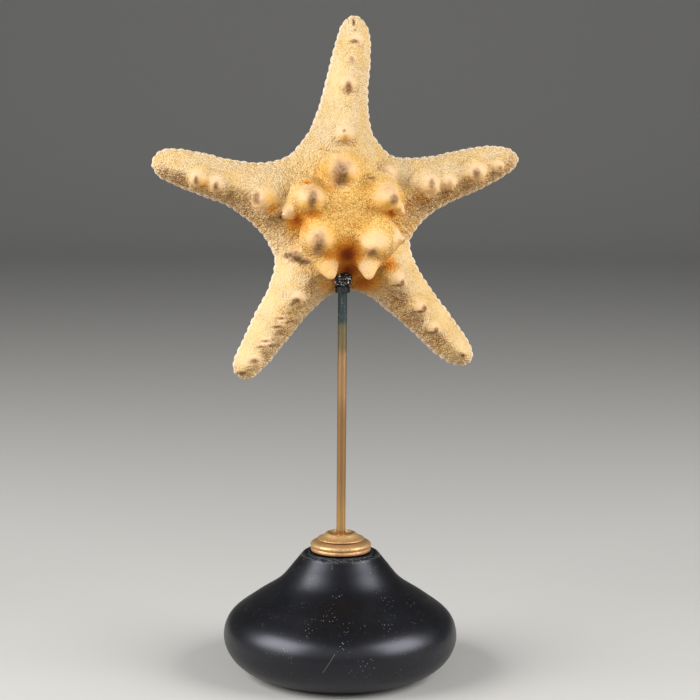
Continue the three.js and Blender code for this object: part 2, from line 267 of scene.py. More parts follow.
# %% A material built node by node
class Paint:
    """A material under construction around one Principled shader."""

    def __init__(self, name, **fixed):
        self.material = bpy.data.materials.new(name)
        self.material.use_nodes = True
        self.tree = self.material.node_tree
        self.shader = self.tree.nodes["Principled BSDF"]
        for socket, value in fixed.items():
            self.feed(socket.replace("_", " "), value)

    def feed(self, socket, value):
        """Sets or links one of the shader's sockets, named as it is written on the node."""
        names = {s.name.lower(): s for s in self.shader.inputs}
        self.join(names[socket.lower()], value)

    def join(self, socket, value):
        """A value into a socket: a link where it is a Value, and otherwise a plain setting."""
        if isinstance(value, Value):
            self.tree.links.new(value.socket, socket)
        else:
            socket.default_value = value

    def add(self, kind, settings=None, inputs=None, out=0):
        """Any node: its type, its settings, then its sockets by name or number."""
        node = self.tree.nodes.new(kind)
        for name, value in (settings or {}).items():
            setattr(node, name, value)
        for key, value in (inputs or {}).items():
            self.join(node.inputs[key], value)
        return Value(self, node.outputs[out])

    def place(self, scale=(1, 1, 1)):
        """Where a point is on the object, stretched by a scale along each axis."""
        spot = self.add("ShaderNodeTexCoord", out="Object")
        return self.add("ShaderNodeMapping", {}, {"Vector": spot, "Scale": scale})

    def attribute(self, name):
        """A number that the mesh carries on its points."""
        return self.add("ShaderNodeAttribute", {"attribute_name": name}, out="Fac")

    def noise(self, size, detail=2.0, spot=None):
        """Soft noise from 0 to 1 whose blotches are about this size in metres."""
        inputs = {"Vector": spot or self.place(), "Scale": 1 / size, "Detail": detail}
        return self.add("ShaderNodeTexNoise", {}, inputs)

    def cells(self, size):
        """Distance from the nearest of many scattered points, in cells of this size."""
        inputs = {"Vector": self.place(), "Scale": 1 / size}
        return self.add("ShaderNodeTexVoronoi", {"feature": "F1"}, inputs)

    def mix(self, share, first, second):
        """From the first colour to the second by a share."""
        inputs = {0: share, 6: first, 7: second}
        return self.add("ShaderNodeMix", {"data_type": "RGBA"}, inputs, out=2)

    def bump(self, height, depth, under=None):
        """Relief of this depth in metres, over another relief if one is given."""
        inputs = {"Height": height, "Distance": depth, "Strength": 1.0}
        if under is not None:
            inputs["Normal"] = under
        return self.add("ShaderNodeBump", {}, inputs)


print("a material can be built")

# %% Colours, and the floor in one of them
def colour(red, green, blue):
    """A colour as it is seen on a screen, 0 to 255, made linear for the shader."""
    linear = [((c / 255 + 0.055) / 1.055) ** 2.4 if c > 10 else c / 255 / 12.92
              for c in (red, green, blue)]
    return (*linear, 1.0)


pale = Paint("pale_floor", roughness=0.9, base_color=colour(178, 176, 172))
sweep.data.materials.append(pale.material)
print("floor finish:", pale.material.name)

# %% [markdown]
# ## The black foot
# The foot is wood, turned on a lathe to an onion's outline, sprayed black and rubbed to a satin
# sheen. Drawing its outline ring by ring is how a turner thinks of it: one ring is added, then it
# is extruded up and resized at each point of the outline. A smooth curve through a few measured
# points gives the rings.

# %% Turning a piece ring by ring
def smooth_through(points, per_span):
    """Points on a smooth open curve through the given ones, with the spacing of their distances."""
    knots = np.array([points[0], *points, points[-1]], float)
    knots[0] += knots[1] - knots[2]
    knots[-1] += knots[-2] - knots[-3]
    line = [curve_point(knots[i:i + 4], s / per_span)
            for i in range(len(points) - 1) for s in range(per_span)]
    return np.array([*line, points[-1]])


def curve_point(four, share):
    """The centripetal Catmull-Rom curve between the middle two of four points."""
    gaps = np.maximum(np.linalg.norm(np.diff(four, axis=0), axis=1) ** 0.5, 1e-4)
    t = np.concatenate([[0], np.cumsum(gaps)])
    at = t[1] + share * (t[2] - t[1])

    def between(a, b, low, high):
        return a + (b - a) * ((at - t[low]) / (t[high] - t[low]))

    first = [between(four[i], four[i + 1], i, i + 1) for i in range(3)]
    second = [between(first[i], first[i + 1], i, i + 2) for i in range(2)]
    return between(second[0], second[1], 1, 2)


def turn(name, outline, sides=96, closed=False):
    """A turned piece from its outline of radius and height in mm, from the bottom up.

    A closed outline comes back down inside, to its own first ring, and leaves a bore.
    """
    radius, height = outline[0]
    deselect()
    fill = "NOTHING" if closed else "NGON"
    bpy.ops.mesh.primitive_circle_add(
        vertices=sides, radius=radius * MM, fill_type=fill, location=(0, 0, height * MM)
    )
    piece = bpy.context.object
    piece.name = name
    place_in_mesh(piece)
    with editing(piece):
        bpy.ops.mesh.select_all(action="SELECT")
        for next_radius, next_height in [*outline[1:], *([outline[0]] if closed else [])]:
            bpy.ops.mesh.extrude_region_move(
                TRANSFORM_OT_translate={"value": (0, 0, (next_height - height) * MM)}
            )
            bpy.ops.transform.resize(value=(next_radius / radius,) * 2 + (1,))
            radius, height = next_radius, next_height
    close_up(piece)
    activate(piece)
    bpy.ops.object.shade_smooth_by_angle(angle=math.radians(35))
    return piece


print("helpers for turning are ready")

# %% The foot's outline and its turning
BELLY_RADIUS = 51.64
FOOT_OUTLINE = [(33.5, 0), (42.5, 3.2), (48.8, 8.8), (BELLY_RADIUS, 16.6), (49.4, 24.8),
                (39.4, 33.1), (27.2, 41.4), (21.0, 48.6), (17.2, 53.4)]
UNDERSIDE_EDGE = [(32.6, 0.0), (33.2, 0.05)]
NECK_TOP = 54.6
NECK_RIM = [(16.6, 54.0), (16.1, 54.25), (15.5, 54.1), (15.1, 53.7), (14.9, 53.75), (14.6, 54.3),
            (14.2, 54.55), (13.8, 54.5), (13.5, 54.2), (13.0, 54.1), (2.3, 54.1)]
foot_rings = [(min(r, BELLY_RADIUS), max(z, 0.0)) for r, z in smooth_through(FOOT_OUTLINE, 7)[1:]]
foot = turn("turned_foot", [*UNDERSIDE_EDGE, *foot_rings, *NECK_RIM], sides=128)
print("foot:", len(foot.data.polygons), "faces")

# %% [markdown]
# ## Its lacquer
# Black lacquer shows little but what it mirrors, so its finish is mostly in the sheen. The soft
# streaks want a middling roughness with a fine orange-peel relief. Dust has settled in specks, and
# one thin scratch crosses the belly. Both could be painted on, but as masks of distance they need
# no picture and stay where they are.

# %% Masks that follow place
def distance_to_line(paint, start, end):
    """Distance in metres from a short straight line, as seen from the front."""
    spot = paint.place((1, 0, 1))
    along = end - start
    away = paint.add("ShaderNodeVectorMath", {"operation": "SUBTRACT"}, {0: spot, 1: start})
    share = paint.add("ShaderNodeVectorMath", {"operation": "DOT_PRODUCT"},
                      {0: away, 1: along / along.length_squared}, out="Value")
    share = share.math("MINIMUM", 1.0).math("MAXIMUM", 0.0)
    foot_of = paint.add("ShaderNodeVectorMath", {"operation": "SCALE"},
                        {0: along, "Scale": share})
    return paint.add("ShaderNodeVectorMath", {"operation": "DISTANCE"},
                     {0: away, 1: foot_of}, out="Value")


def radius_of(paint):
    """Distance from the rod's axis in metres."""
    flat = paint.place((1, 1, 0))
    return paint.add("ShaderNodeVectorMath", {"operation": "LENGTH"}, {0: flat}, out="Value")


def height_of(paint):
    """Height above the table in metres."""
    spot = paint.add("ShaderNodeTexCoord", out="Object")
    return paint.add("ShaderNodeSeparateXYZ", {}, {0: spot}, out=2)


def front_of(paint):
    """1 on the side that faces the viewer, 0 behind."""
    spot = paint.add("ShaderNodeTexCoord", out="Object")
    return paint.add("ShaderNodeSeparateXYZ", {}, {0: spot}, out=1).step(0.0, -1 * MM)


print("masks of place are ready")

# %% Satin black lacquer
SCRATCH_FROM = Vector((-2.0, 0, 22.4)) * MM
SCRATCH_TO = Vector((-7.0, 0, 14.4)) * MM
WET_FROM = (12.4 * MM, 13.4 * MM)


def satin_lacquer():
    """Black lacquer rubbed to a satin sheen, with dust, one scratch, and a wet ring of glue with
    painted pale glints.
    """
    paint = Paint("satin_black_lacquer", ior=1.5, specular_tint=(0.87, 0.88, 1.0, 1.0))
    dust_size = paint.noise(9 * MM, 3).step(0.4, 0.68) * 0.1 + 0.02
    dust = paint.cells(1.25 * MM).step(dust_size + 0.03, dust_size)
    smear = paint.noise(14 * MM, 4).step(0.42, 0.78)
    scratch = distance_to_line(paint, SCRATCH_FROM, SCRATCH_TO).step(0.17 * MM, 0.05 * MM)
    scratch = scratch * front_of(paint)
    high = height_of(paint).step((NECK_TOP - 1.8) * MM, (NECK_TOP - 0.9) * MM)
    wet = high * radius_of(paint).step(*WET_FROM)
    black = paint.mix(smear, colour(3, 3, 5), colour(6, 7, 11))
    dusty = paint.mix(dust * 0.6, black, colour(160, 160, 154))
    scratched = paint.mix(scratch * 0.28, dusty, colour(150, 142, 136))
    # The pale specks in the wet ring are painted glints, a painted highlight in the colour.
    painted_glint = paint.noise(0.7 * MM, 2).step(0.64, 0.68) * wet
    paint.feed("Base Color", paint.mix(painted_glint * 0.5, scratched, colour(140, 156, 142)))
    paint.feed("Roughness", (smear * 0.05 + 0.35 + dust * 0.3) * (1 - wet * 0.7))
    fine = paint.bump(paint.noise(0.8 * MM, 3), 0.012 * MM)
    paint.feed("Normal", paint.bump(paint.noise(0.9 * MM, 3) * wet, 0.7 * MM, fine))
    return paint.material


foot.data.materials.append(satin_lacquer())
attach(foot, "root")
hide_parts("foot")
print("foot is lacquered")

# %% [markdown]
# ## The brass rings and the rod
# Two rings are stacked on the neck: a flat rounded flange and a cone with a shallow dish. Each is
# bored for the rod, so its outline goes up the outside and comes back down the bore. A lathe makes
# such rings, and ring by ring is again the shortest way to draw them.

# %% Flange, cone and ferrule
CLEARANCE = 0.3
ROD_RADIUS = 2.0
BORE = ROD_RADIUS + CLEARANCE
FLANGE_HEIGHT = 4.8
flange_bottom = NECK_TOP + CLEARANCE
FLANGE = [(BORE, 0), (12.4, 0), (12.8, 0.08), (13.1, 0.3), (13.22, 0.7), (13.2, 1.3), (13.05, 1.55),
          (12.85, 1.68), (12.8, 1.8), (12.95, 1.92), (13.2, 2.1), (13.35, 2.4), (13.4, 2.8),
          (13.3, 3.2), (13.0, 3.65), (12.5, 4.0), (11.8, 4.25), (10.9, 4.42), (10.2, 4.5),
          (9.9, 4.55), (9.5, 4.7), (9.0, FLANGE_HEIGHT), (BORE, FLANGE_HEIGHT)]
CONE = [(BORE, 0), (9.6, 0), (10.1, 0.1), (10.3, 0.34), (10.2, 0.6), (9.8, 0.78), (9.1, 1.0),
        (8.3, 1.4), (7.6, 1.9), (7.0, 2.45), (6.65, 2.8), (6.3, 2.97), (6.0, 3.0), (5.75, 2.9),
        (5.4, 2.5), (4.9, 2.1), (4.0, 1.85), (3.0, 1.8), (BORE, 1.8)]
FERRULE = [(BORE, 0), (2.9, 0), (3.15, 0.08), (3.25, 0.3), (3.3, 0.8), (3.28, 1.8), (3.3, 2.4),
           (3.2, 2.6), (BORE, 2.6)]
FERRULE_BOTTOM = 169.4


def raised(outline, by):
    """An outline moved up by a height in mm."""
    return [(r, z + by) for r, z in outline]


flange = turn("rounded_flange", raised(FLANGE, flange_bottom), closed=True)
cone = turn("dished_cone", raised(CONE, flange_bottom + FLANGE_HEIGHT + CLEARANCE), closed=True)
ferrule = turn("rod_end_ferrule", raised(FERRULE, FERRULE_BOTTOM), sides=64, closed=True)
print("rings:", [(o.name, len(o.data.polygons)) for o in (flange, cone, ferrule)])

# %% The rod
CHAMFER = 0.3
WAVER = 0.012  # each second ring is this much thinner, so a long highlight wavers a little
rod_low, rod_high = (corner.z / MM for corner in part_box("rod"))
rod_rings = [(ROD_RADIUS - CHAMFER, rod_low), (ROD_RADIUS, rod_low + CHAMFER)]
rod_rings += [(ROD_RADIUS - WAVER * (i % 2), z)
              for i, z in enumerate(np.linspace(rod_low + 2, rod_high - 2, 60))]
rod_rings += [(ROD_RADIUS, rod_high - CHAMFER), (ROD_RADIUS - CHAMFER, rod_high)]
rod = turn("brass_rod", rod_rings, sides=48)
print("rod:", round(rod_high - rod_low, 1), "mm long")

# %% [markdown]
# ## Old brass
# The rings are dull brass with turning lines, a dark speckle and pink copper stains low down. Noise
# that is read by radius and height, and not by the place itself, runs round the axis in rings. The
# rod is bright low down, duller in the middle and bright again, and ends in olive and blue-black
# where it was heated and smeared. Bands by height, made uneven with noise, give that order.

# %% Brass of the rings
def old_brass(name):
    """Dull brass with turning lines, a fine dark speckle and pink copper stains."""
    paint = Paint(name, metallic=0.72)
    rings = paint.add("ShaderNodeCombineXYZ", {}, {0: radius_of(paint), 2: height_of(paint)})
    lines = paint.noise(0.3 * MM, 2, rings)
    speck = paint.noise(0.5 * MM, 3).step(0.5, 0.66)
    tarnish = paint.noise(3.5 * MM, 5).step(0.45, 0.75)
    low_band = height_of(paint).step((NECK_TOP + 3.2) * MM, (NECK_TOP + 1.6) * MM)
    pink = paint.noise(5 * MM, 3, paint.place((1, 1, 3))).step(0.4, 0.6) * (low_band * 0.5 + 0.2)
    bright = paint.mix(lines, colour(186, 148, 94), colour(214, 180, 126))
    stained = paint.mix(pink, bright, colour(196, 142, 114))
    dull = paint.mix(tarnish * 0.4, stained, colour(160, 108, 60))
    paint.feed("Base Color", paint.mix(speck * 0.6, dull, colour(112, 72, 36)))
    paint.feed("Roughness", lines * 0.08 + 0.46 + tarnish * 0.1 + speck * 0.1)
    grain = paint.bump(paint.noise(0.5 * MM, 4), 0.1 * MM)
    paint.feed("Normal", paint.bump(lines, 0.03 * MM, grain))
    return paint.material


print("brass of the rings is ready")

# %% Brass of the rod
# Heights in metres between which each stretch of its colour fades in.
ROD_DULLS = (66 * MM, 90 * MM)
ROD_BRIGHTENS = (114 * MM, 128 * MM)
ROD_TURNS_OLIVE = (139 * MM, 148 * MM)
ROD_TURNS_BLACK = (148 * MM, 160 * MM)


def rod_brass():
    """The rod's brass in stretches, with olive and a blue-black patina at the top."""
    paint = Paint("rod_brass")
    height = height_of(paint)
    drift = paint.noise(5 * MM, 4) * (16 * MM) - 8 * MM
    level = height + drift
    dark = level.step(*ROD_TURNS_BLACK)
    olive = level.step(*ROD_TURNS_OLIVE)
    speck = paint.noise(0.8 * MM, 2).step(0.62, 0.74)
    length = paint.noise(1.2 * MM, 3, paint.place((1, 1, 0.04)))
    warm = paint.mix(length, colour(162, 122, 78), colour(206, 164, 104))
    cool = paint.mix(height.step(*ROD_DULLS) * 0.7, warm, colour(146, 110, 76))
    fresh = paint.mix(height.step(*ROD_BRIGHTENS) * 0.8, cool, colour(188, 147, 105))
    aged = paint.mix(olive * 0.8, fresh, colour(122, 116, 84))
    patina = paint.mix(speck, colour(46, 60, 60), colour(130, 140, 134))
    paint.feed("Base Color", paint.mix(dark, aged, patina))
    paint.feed("Metallic", 0.9 - dark * 0.55)
    paint.feed("Roughness", length * 0.12 + 0.28 + dark * 0.16 + speck * 0.05)
    paint.feed("Normal", paint.bump(paint.noise(0.6 * MM, 4), 0.05 * MM))
    return paint.material


print("brass of the rod is ready")

# %% Dark band, and all metal dressed
def dark_band():
    """The ferrule's near-black metal, smeared with the same resin."""
    paint = Paint("dark_band", metallic=0.3)
    smear = paint.noise(1.4 * MM, 4).step(0.4, 0.7)
    paint.feed("Base Color", paint.mix(smear, colour(26, 30, 30), colour(58, 64, 62)))
    paint.feed("Roughness", smear * 0.2 + 0.32)
    paint.feed("Normal", paint.bump(paint.noise(0.7 * MM, 3), 0.08 * MM))
    return paint.material


for piece, node, slot, finish in [
    (flange, "brass_flange", "brass", old_brass("flange_brass")),
    (cone, "brass_cone", "brass", old_brass("cone_brass")),
    (ferrule, "rod_ferrule", "dark_metal", dark_band()),
    (rod, "rod", "brass", rod_brass()),
]:
    piece.data.materials.append(finish)
    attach(piece, "root")
    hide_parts(node)
print("metal is dressed")

# %% [markdown]
# ## The resin bead
# The rod's end was set in the starfish with black resin, which was pushed about while it stiffened
# and dried in a shiny crumpled lump. A ball is cut into many faces, drawn out to the bead's form,
# and then crumpled by two Displace modifiers, the second one finer. Sculpting would do it too, but
# a pattern gives the same crumples each time.

# %% Points and patterns
def points_of(piece):
    """The piece's points, in metres."""
    places = np.empty(len(piece.data.vertices) * 3)
    piece.data.vertices.foreach_get("co", places)
    return places.reshape(-1, 3)


def set_points(piece, places):
    """Moves the piece's points to these places, in metres."""
    piece.data.vertices.foreach_set("co", places.ravel())
    piece.data.update()


def displace(piece, name, kind, size, depth, **settings):
    """Moves the surface in and out by a pattern; its size and depth are in mm."""
    pattern = bpy.data.textures.new(name, kind)
    pattern.noise_scale = size * MM
    apply_modifier(piece, "DISPLACE", texture=pattern, strength=depth * MM, **settings)


print("helpers for points and patterns are ready")

# %% A crumpled bead
BALL_RADIUS = 4.15 * MM
BEAD_RADIUS = 3.95 * MM
bead_low, bead_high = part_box("resin_bead")
deselect()
bpy.ops.mesh.primitive_ico_sphere_add(
    subdivisions=6, radius=BALL_RADIUS, location=(0, 0, (bead_low.z + bead_high.z) / 2)
)
bead = bpy.context.object
bead.name = "crumpled_bead"
bead.scale = (1, 1, (bead_high.z - bead_low.z) / (2 * BALL_RADIUS))
place_in_mesh(bead)
shape = points_of(bead)
reach = np.linalg.norm(shape[:, :2], axis=1)
shape[:, :2] *= (np.minimum(reach * 1.35, BEAD_RADIUS) / np.maximum(reach, 0.01 * MM))[:, None]
set_points(bead, shape)
displace(bead, "folds", "VORONOI", 1.7, 1.2, mid_level=0.5)
displace(bead, "creases", "STUCCI", 0.6, 0.7, mid_level=0.5)
set_points(bead, np.clip(points_of(bead), bead_low, bead_high))
activate(bead)
bpy.ops.object.shade_smooth_by_angle(angle=math.radians(50))
print("bead:", len(bead.data.polygons), "faces")

# %% Black resin
def black_resin():
    """Glossy black resin with duller dents and painted pale glints."""
    paint = Paint("black_resin", ior=1.6)
    dull = paint.noise(0.9 * MM, 3).step(0.5, 0.75)
    # The pale glints are painted highlights in the colour.
    painted_glint = paint.noise(0.95 * MM, 2).step(0.57, 0.61)
    black = paint.mix(dull, colour(9, 9, 9), colour(26, 28, 28))
    paint.feed("Base Color", paint.mix(painted_glint * 0.85, black, colour(225, 228, 226)))
    paint.feed("Roughness", dull * 0.15 + 0.12)
    paint.feed("Normal", paint.bump(paint.noise(0.9 * MM, 3), 0.7 * MM))
    return paint.material


bead.data.materials.append(black_resin())
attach(bead, "root")
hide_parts("resin_bead")
print("bead is dressed")

# %% [markdown]
# ## The starfish's body
# A starfish's body is a low box of bony plates: a roof over each arm with a ridge along its
# middle, a blunt margin all round, and a flat underside with a groove along each arm. No arm is
# turned or straight, so neither a lathe nor a box gives it. It is made as a sheet: a grid is added,
# and each of its rows is laid from a ridge over the margin to the groove behind, while the rows go
# once round the star's edge. The star's own frame has x to the right, y up and z out of the knobbed
# side, in mm.

# %% Outline and ridges
STAR_CENTRE = (1.2, 9.4, 202.3)
STAR_LEAN = 8
STAR_TURN = 4
STAR_TO_WORLD = (
    Matrix.Translation(Vector(STAR_CENTRE) * MM)
    @ Matrix.Rotation(math.radians(STAR_TURN), 4, "Z")
    @ Matrix.Rotation(math.radians(90 - STAR_LEAN), 4, "X")
)
CROTCHES = [(20.6, 26.0), (-26.6, 25.2), (-31.6, -18.0), (0.8, -32.4), (28.0, -11.6)]
# The edge of each arm, out to the tip and back, counter-clockwise from the top arm.
EDGES = [
    [(12.2, 34.5), (9.8, 48.0), (10.4, 62.0), (11.0, 75.0), (8.8, 83.6), (4.2, 87.0),
     (-1.2, 84.0), (-4.4, 76.0), (-8.0, 62.0), (-11.6, 48.0), (-16.6, 36.0)],
    [(-37.8, 22.8), (-50.0, 24.2), (-63.6, 27.2), (-75.4, 28.8), (-81.6, 27.2), (-84.4, 22.4),
     (-82.2, 17.2), (-75.4, 13.2), (-64.4, 8.8), (-52.4, 4.0), (-40.2, -4.6)],
    [(-33.4, -30.0), (-39.4, -42.0), (-45.2, -54.0), (-49.4, -64.4), (-48.4, -69.2), (-44.0, -72.0),
     (-39.2, -69.6), (-34.4, -64.8), (-26.2, -55.0), (-17.2, -44.0), (-9.0, -36.4)],
    [(9.6, -35.4), (19.6, -43.0), (30.2, -52.2), (41.0, -62.2), (46.8, -65.4), (51.6, -65.8),
     (55.2, -62.6), (54.8, -57.4), (48.0, -46.6), (39.8, -35.6), (32.2, -24.4)],
    [(35.8, -0.6), (45.0, 5.2), (57.0, 10.4), (68.0, 16.2), (73.6, 20.2), (75.8, 25.0),
     (73.0, 28.6), (66.0, 30.4), (56.0, 29.8), (45.0, 27.6), (33.6, 25.4)],
]
RIDGES = [
    [(-0.8, 34.0), (0.6, 48.0), (2.2, 62.0), (3.8, 75.0), (4.2, 80.4)],
    [(-38.0, 8.6), (-51.0, 12.0), (-64.0, 15.6), (-75.2, 19.2), (-79.4, 21.4)],
    [(-20.0, -33.4), (-27.0, -45.0), (-34.0, -56.0), (-40.6, -64.6), (-42.8, -67.8)],
    [(22.4, -29.4), (31.4, -40.6), (40.2, -51.4), (48.2, -59.8), (50.4, -61.8)],
    [(34.6, 10.4), (45.0, 14.2), (56.4, 18.2), (67.4, 22.2), (70.6, 24.0)],
]
RIDGE_HEIGHTS = [16.5, 14.6, 12.6, 11.2, 9.0, 6.8]
ARMS = len(RIDGES)
PER_SPAN = 10

edge_knots = np.array([p for crotch, side in zip(CROTCHES, EDGES) for p in [crotch, *side]])
edge = np.array([curve_point(np.roll(edge_knots, 1 - i, axis=0)[:4], s / PER_SPAN)
                 for i in range(len(edge_knots)) for s in range(PER_SPAN)])
ARM_ROWS = len(edge) // ARMS
along_arm = np.arange(ARM_ROWS)
station = np.tile(np.minimum(along_arm, ARM_ROWS - along_arm), ARMS)
station = np.minimum(station, len(RIDGES[0]) * PER_SPAN)
arm_of_row = np.repeat(np.arange(ARMS), ARM_ROWS)
ridge_lines = np.array([smooth_through([(0, 0), *line], PER_SPAN) for line in RIDGES])
spine = ridge_lines[arm_of_row, station]
heights = smooth_through([(i * 3, h) for i, h in enumerate(RIDGE_HEIGHTS)], PER_SPAN)[:, 1]
ridge_height = heights[station]
print("edge:", len(edge), "points; ridges:", ridge_lines.shape)

# %% The sheet over the five arms
MARGIN_HALF = 2.7
MARGIN_INSET = 1.0
ROOF_POWER = 1.7
ROOF_COLUMNS = 23
MARGIN_TURNS = np.radians([60, 30, 0, -30, -60])
BACK_DEPTH = 5.6
BACK_SHARES = (0, 0.08, 0.16, 0.26, 0.36, 0.45)
GROOVE_DEPTH = 3.8
GROOVE_HALF = 2.4
GROOVE_COLUMNS = (6.4, 5.4, 4.4, 3.5, 2.7, 2.0, 1.3, 0.6, 0)  # from the groove's middle, mm
SHORTEST_SPAN = 15


def smoothstep(low, high, value):
    """0 below low, 1 above high, and smooth between."""
    share = np.clip((value - low) / (high - low), 0, 1)
    return share * share * (3 - 2 * share)


def star_columns():
    """Every column of the sheet, from the ridge over the margin to the groove, in mm."""
    reach = np.linalg.norm(spine - edge, axis=1)
    inwards = (spine - edge) / reach[:, None]
    span = reach - MARGIN_INSET

    def column(inset, share, height):
        """One point of each row, at a share of the way from the inset edge to the ridge."""
        start = edge + inwards * inset
        flat = start + (spine - start) * np.reshape(share, (-1, 1))
        return np.column_stack([flat, np.broadcast_to(height, len(flat))])

    for share in np.linspace(1, 0, ROOF_COLUMNS):
        roof = 1 - (1 - share) ** ROOF_POWER
        yield column(MARGIN_INSET, share, MARGIN_HALF + (ridge_height - MARGIN_HALF) * roof)
    for turned in MARGIN_TURNS:
        inset = MARGIN_INSET * (1 - math.cos(turned))
        yield column(inset, 0, MARGIN_HALF * math.sin(turned))
    shares = [np.full(len(edge), share) for share in BACK_SHARES]
    shares += [1 - off / np.maximum(span, SHORTEST_SPAN) for off in GROOVE_COLUMNS]
    for share in shares:
        from_groove = (1 - share) * span
        groove = GROOVE_DEPTH * np.exp(-((from_groove / GROOVE_HALF) ** 2))
        depth = MARGIN_HALF + (BACK_DEPTH - MARGIN_HALF) * smoothstep(0, BACK_SHARES[-1], share)
        yield column(MARGIN_INSET, share, groove - depth)


sheet = np.array(list(star_columns()))
sheet = np.concatenate([sheet, sheet[:, :1]], axis=1)
deselect()
bpy.ops.mesh.primitive_grid_add(
    x_subdivisions=sheet.shape[1] - 1, y_subdivisions=sheet.shape[0] - 1, size=0.1
)
star = bpy.context.object
star.name = "knobbed_starfish"
set_points(star, sheet * MM)
close_up(star)
print("sheet:", len(star.data.vertices), "points")

# %% [markdown]
# ## The disc
# The disc stands up as a dome in the middle, and reaches a little further towards each arm. It is
# turned ring by ring and then stretched outwards. Welding it to the arms point by point would be
# slow. It only has to overlap the sheet: a voxel remesh will later make one skin of everything, as
# a sculptor joins lumps of clay.

# %% The disc's dome
DISC_OUTLINE = [(25.5, 0), (23.6, 6.0), (20.6, 13.0), (17.0, 18.6), (12.6, 22.4), (7.0, 24.0),
                (0.1, 24.2)]
DISC_STRETCH = 1.22
dome = turn("disc_dome", smooth_through(DISC_OUTLINE, 4), sides=120)
places = points_of(dome)
angle = np.arctan2(places[:, 1], places[:, 0])
arm_angles = [math.atan2(line[0][1], line[0][0]) for line in RIDGES]
facing = np.max([np.cos(angle - a) for a in arm_angles], axis=0)
stretch = 1 + (DISC_STRETCH - 1) * smoothstep(math.cos(math.pi / ARMS), 1, facing)
places[:, :2] *= stretch[:, None]
set_points(dome, places)
print("dome:", len(dome.data.vertices), "points")

# %% [markdown]
# ## The knobs
# Five big knobs stand round the disc, smaller ones hang over its flanks, and a row runs along each
# arm. All are blunt cones with a wide foot and a rounded tip, so one knob is turned and copied. A
# copy is sized, leaned to its own side, and set on the skin where a ray from above meets it.

# %% One knob and all their places
KNOB_OUTLINE = [(1.6, -0.5), (1.48, -0.26), (1.32, -0.04), (1.14, 0.13), (0.96, 0.29),
                (0.78, 0.44), (0.63, 0.6), (0.48, 0.75), (0.33, 0.88), (0.17, 0.97), (0.01, 1.0)]
# Foot x and y, radius, height, and the lean of the axis to the right and upwards.
DISC_KNOBS = [
    (-2.6, 18.0, 6.6, 10.5, -0.02, -0.14), (-16.8, 6.2, 6.0, 10.0, 0.04, -0.1),
    (14.4, 6.8, 6.7, 10.8, 0.38, -0.18), (-12.4, -11.4, 6.2, 10.2, -0.08, -0.16),
    (11.0, -12.2, 6.7, 11.4, -0.18, -0.34),
]
FLANK_KNOBS = [
    (-9.6, -20.6, 5.4, 10.0, 0.4, -1.4), (8.2, -20.2, 5.2, 10.4, 0, -1.4),
    (-19.2, -18.4, 3.2, 8.6, -1.3, 0.2), (-23.4, 0.8, 3.6, 7.6, -1.1, -0.6),
    (18.0, -11.4, 4.3, 7.6, 1.1, -0.05), (20.2, 3.2, 3.2, 7.6, 0.5, -0.7),
    (17.2, 17.6, 3.8, 4.4, 0.3, 0.1),
]
ARM_KNOBS = [
    (-1.4, 34.2, 4.4, 4.8, 0, -0.15), (0.6, 55.8, 3.7, 3.4, 0, -0.1), (2.3, 66.8, 2.2, 1.7, 0, 0),
    (4.0, 74.8, 3.0, 2.4, 0, 0), (-35.6, 5.4, 5.4, 6.2, -0.5, 0.1),
    (-56.0, 12.4, 3.9, 4.4, -0.3, 0), (-63.8, 15.0, 4.3, 4.8, -0.3, -0.1),
    (34.6, 12.2, 5.2, 5.8, 0.4, -0.15), (43.6, 13.8, 3.7, 4.0, 0.2, -0.1),
    (56.0, 18.2, 4.6, 5.0, 0.2, -0.1), (65.6, 21.2, 3.0, 2.8, 0, 0),
    (20.2, -27.8, 4.4, 5.0, 0.5, -0.4), (30.6, -40.0, 3.7, 4.2, 0.5, -0.4),
    (36.8, -49.0, 3.3, 3.5, 0.45, -0.35), (-21.2, -36.0, 3.4, 3.4, -0.2, -0.2),
    (-29.0, -46.4, 2.6, 1.2, 0, 0), (-35.4, -55.4, 2.6, 1.2, 0, 0),
    (-39.8, -63.2, 3.0, 2.4, 0, 0),
]
KNOBS = [*DISC_KNOBS, *FLANK_KNOBS, *ARM_KNOBS]
first_knob = turn("knob", KNOB_OUTLINE, sides=40)
bpy.context.view_layer.update()
print("knobs to set:", len(KNOBS))

# %% Knobs grown on the skin
FAR = 60  # further out than any skin, mm


def skin_height(x, y):
    """Height of the body's skin over a point of the star's plane, in mm."""
    start = Vector((x, y, FAR)) * MM
    hits = [piece.ray_cast(start, Vector((0, 0, -1))) for piece in (star, dome)]
    return max(place.z for hit, place, _, _ in hits if hit) / MM


def set_copy(first, seat, axis, sizes):
    """A copy of a piece with its own mesh, sized, leaned along an axis and set on its seat."""
    copy = first.copy()
    copy.data = first.data.copy()
    bpy.context.collection.objects.link(copy)
    lean = Vector((0, 0, 1)).rotation_difference(axis).to_matrix().to_4x4()
    copy.data.transform(Matrix.Translation(seat) @ lean @ Matrix.Diagonal((*sizes, 1)))
    return copy


def grow_knob(x, y, radius, height, right, up):
    """A knob on the skin. Returns it with its seat, axis, radius and height."""
    seat = Vector((x, y, skin_height(x, y)))
    axis = Vector((right, up, 1)).normalized()
    knob = set_copy(first_knob, seat * MM, axis, (radius, radius, height))
    return knob, seat, axis, radius, height


knobs = [grow_knob(*row) for row in KNOBS]
bpy.data.objects.remove(first_knob)
print("knobs:", len(knobs))

# %% One skin
SKIN_SQUARE = 0.42 * MM


def join(pieces):
    """Makes all the pieces part of the first."""
    activate(pieces[0])
    for piece in pieces:
        piece.select_set(True)
    bpy.ops.object.join()


def remesh(piece, size):
    """A new skin of small even squares round all that overlaps in a piece."""
    activate(piece)
    piece.data.remesh_voxel_size = size
    piece.data.use_remesh_fix_poles = False
    piece.data.use_remesh_preserve_volume = False
    bpy.ops.object.voxel_remesh()


join([star, dome, *[knob[0] for knob in knobs]])
remesh(star, SKIN_SQUARE)
print("one skin:", len(star.data.polygons), "faces")

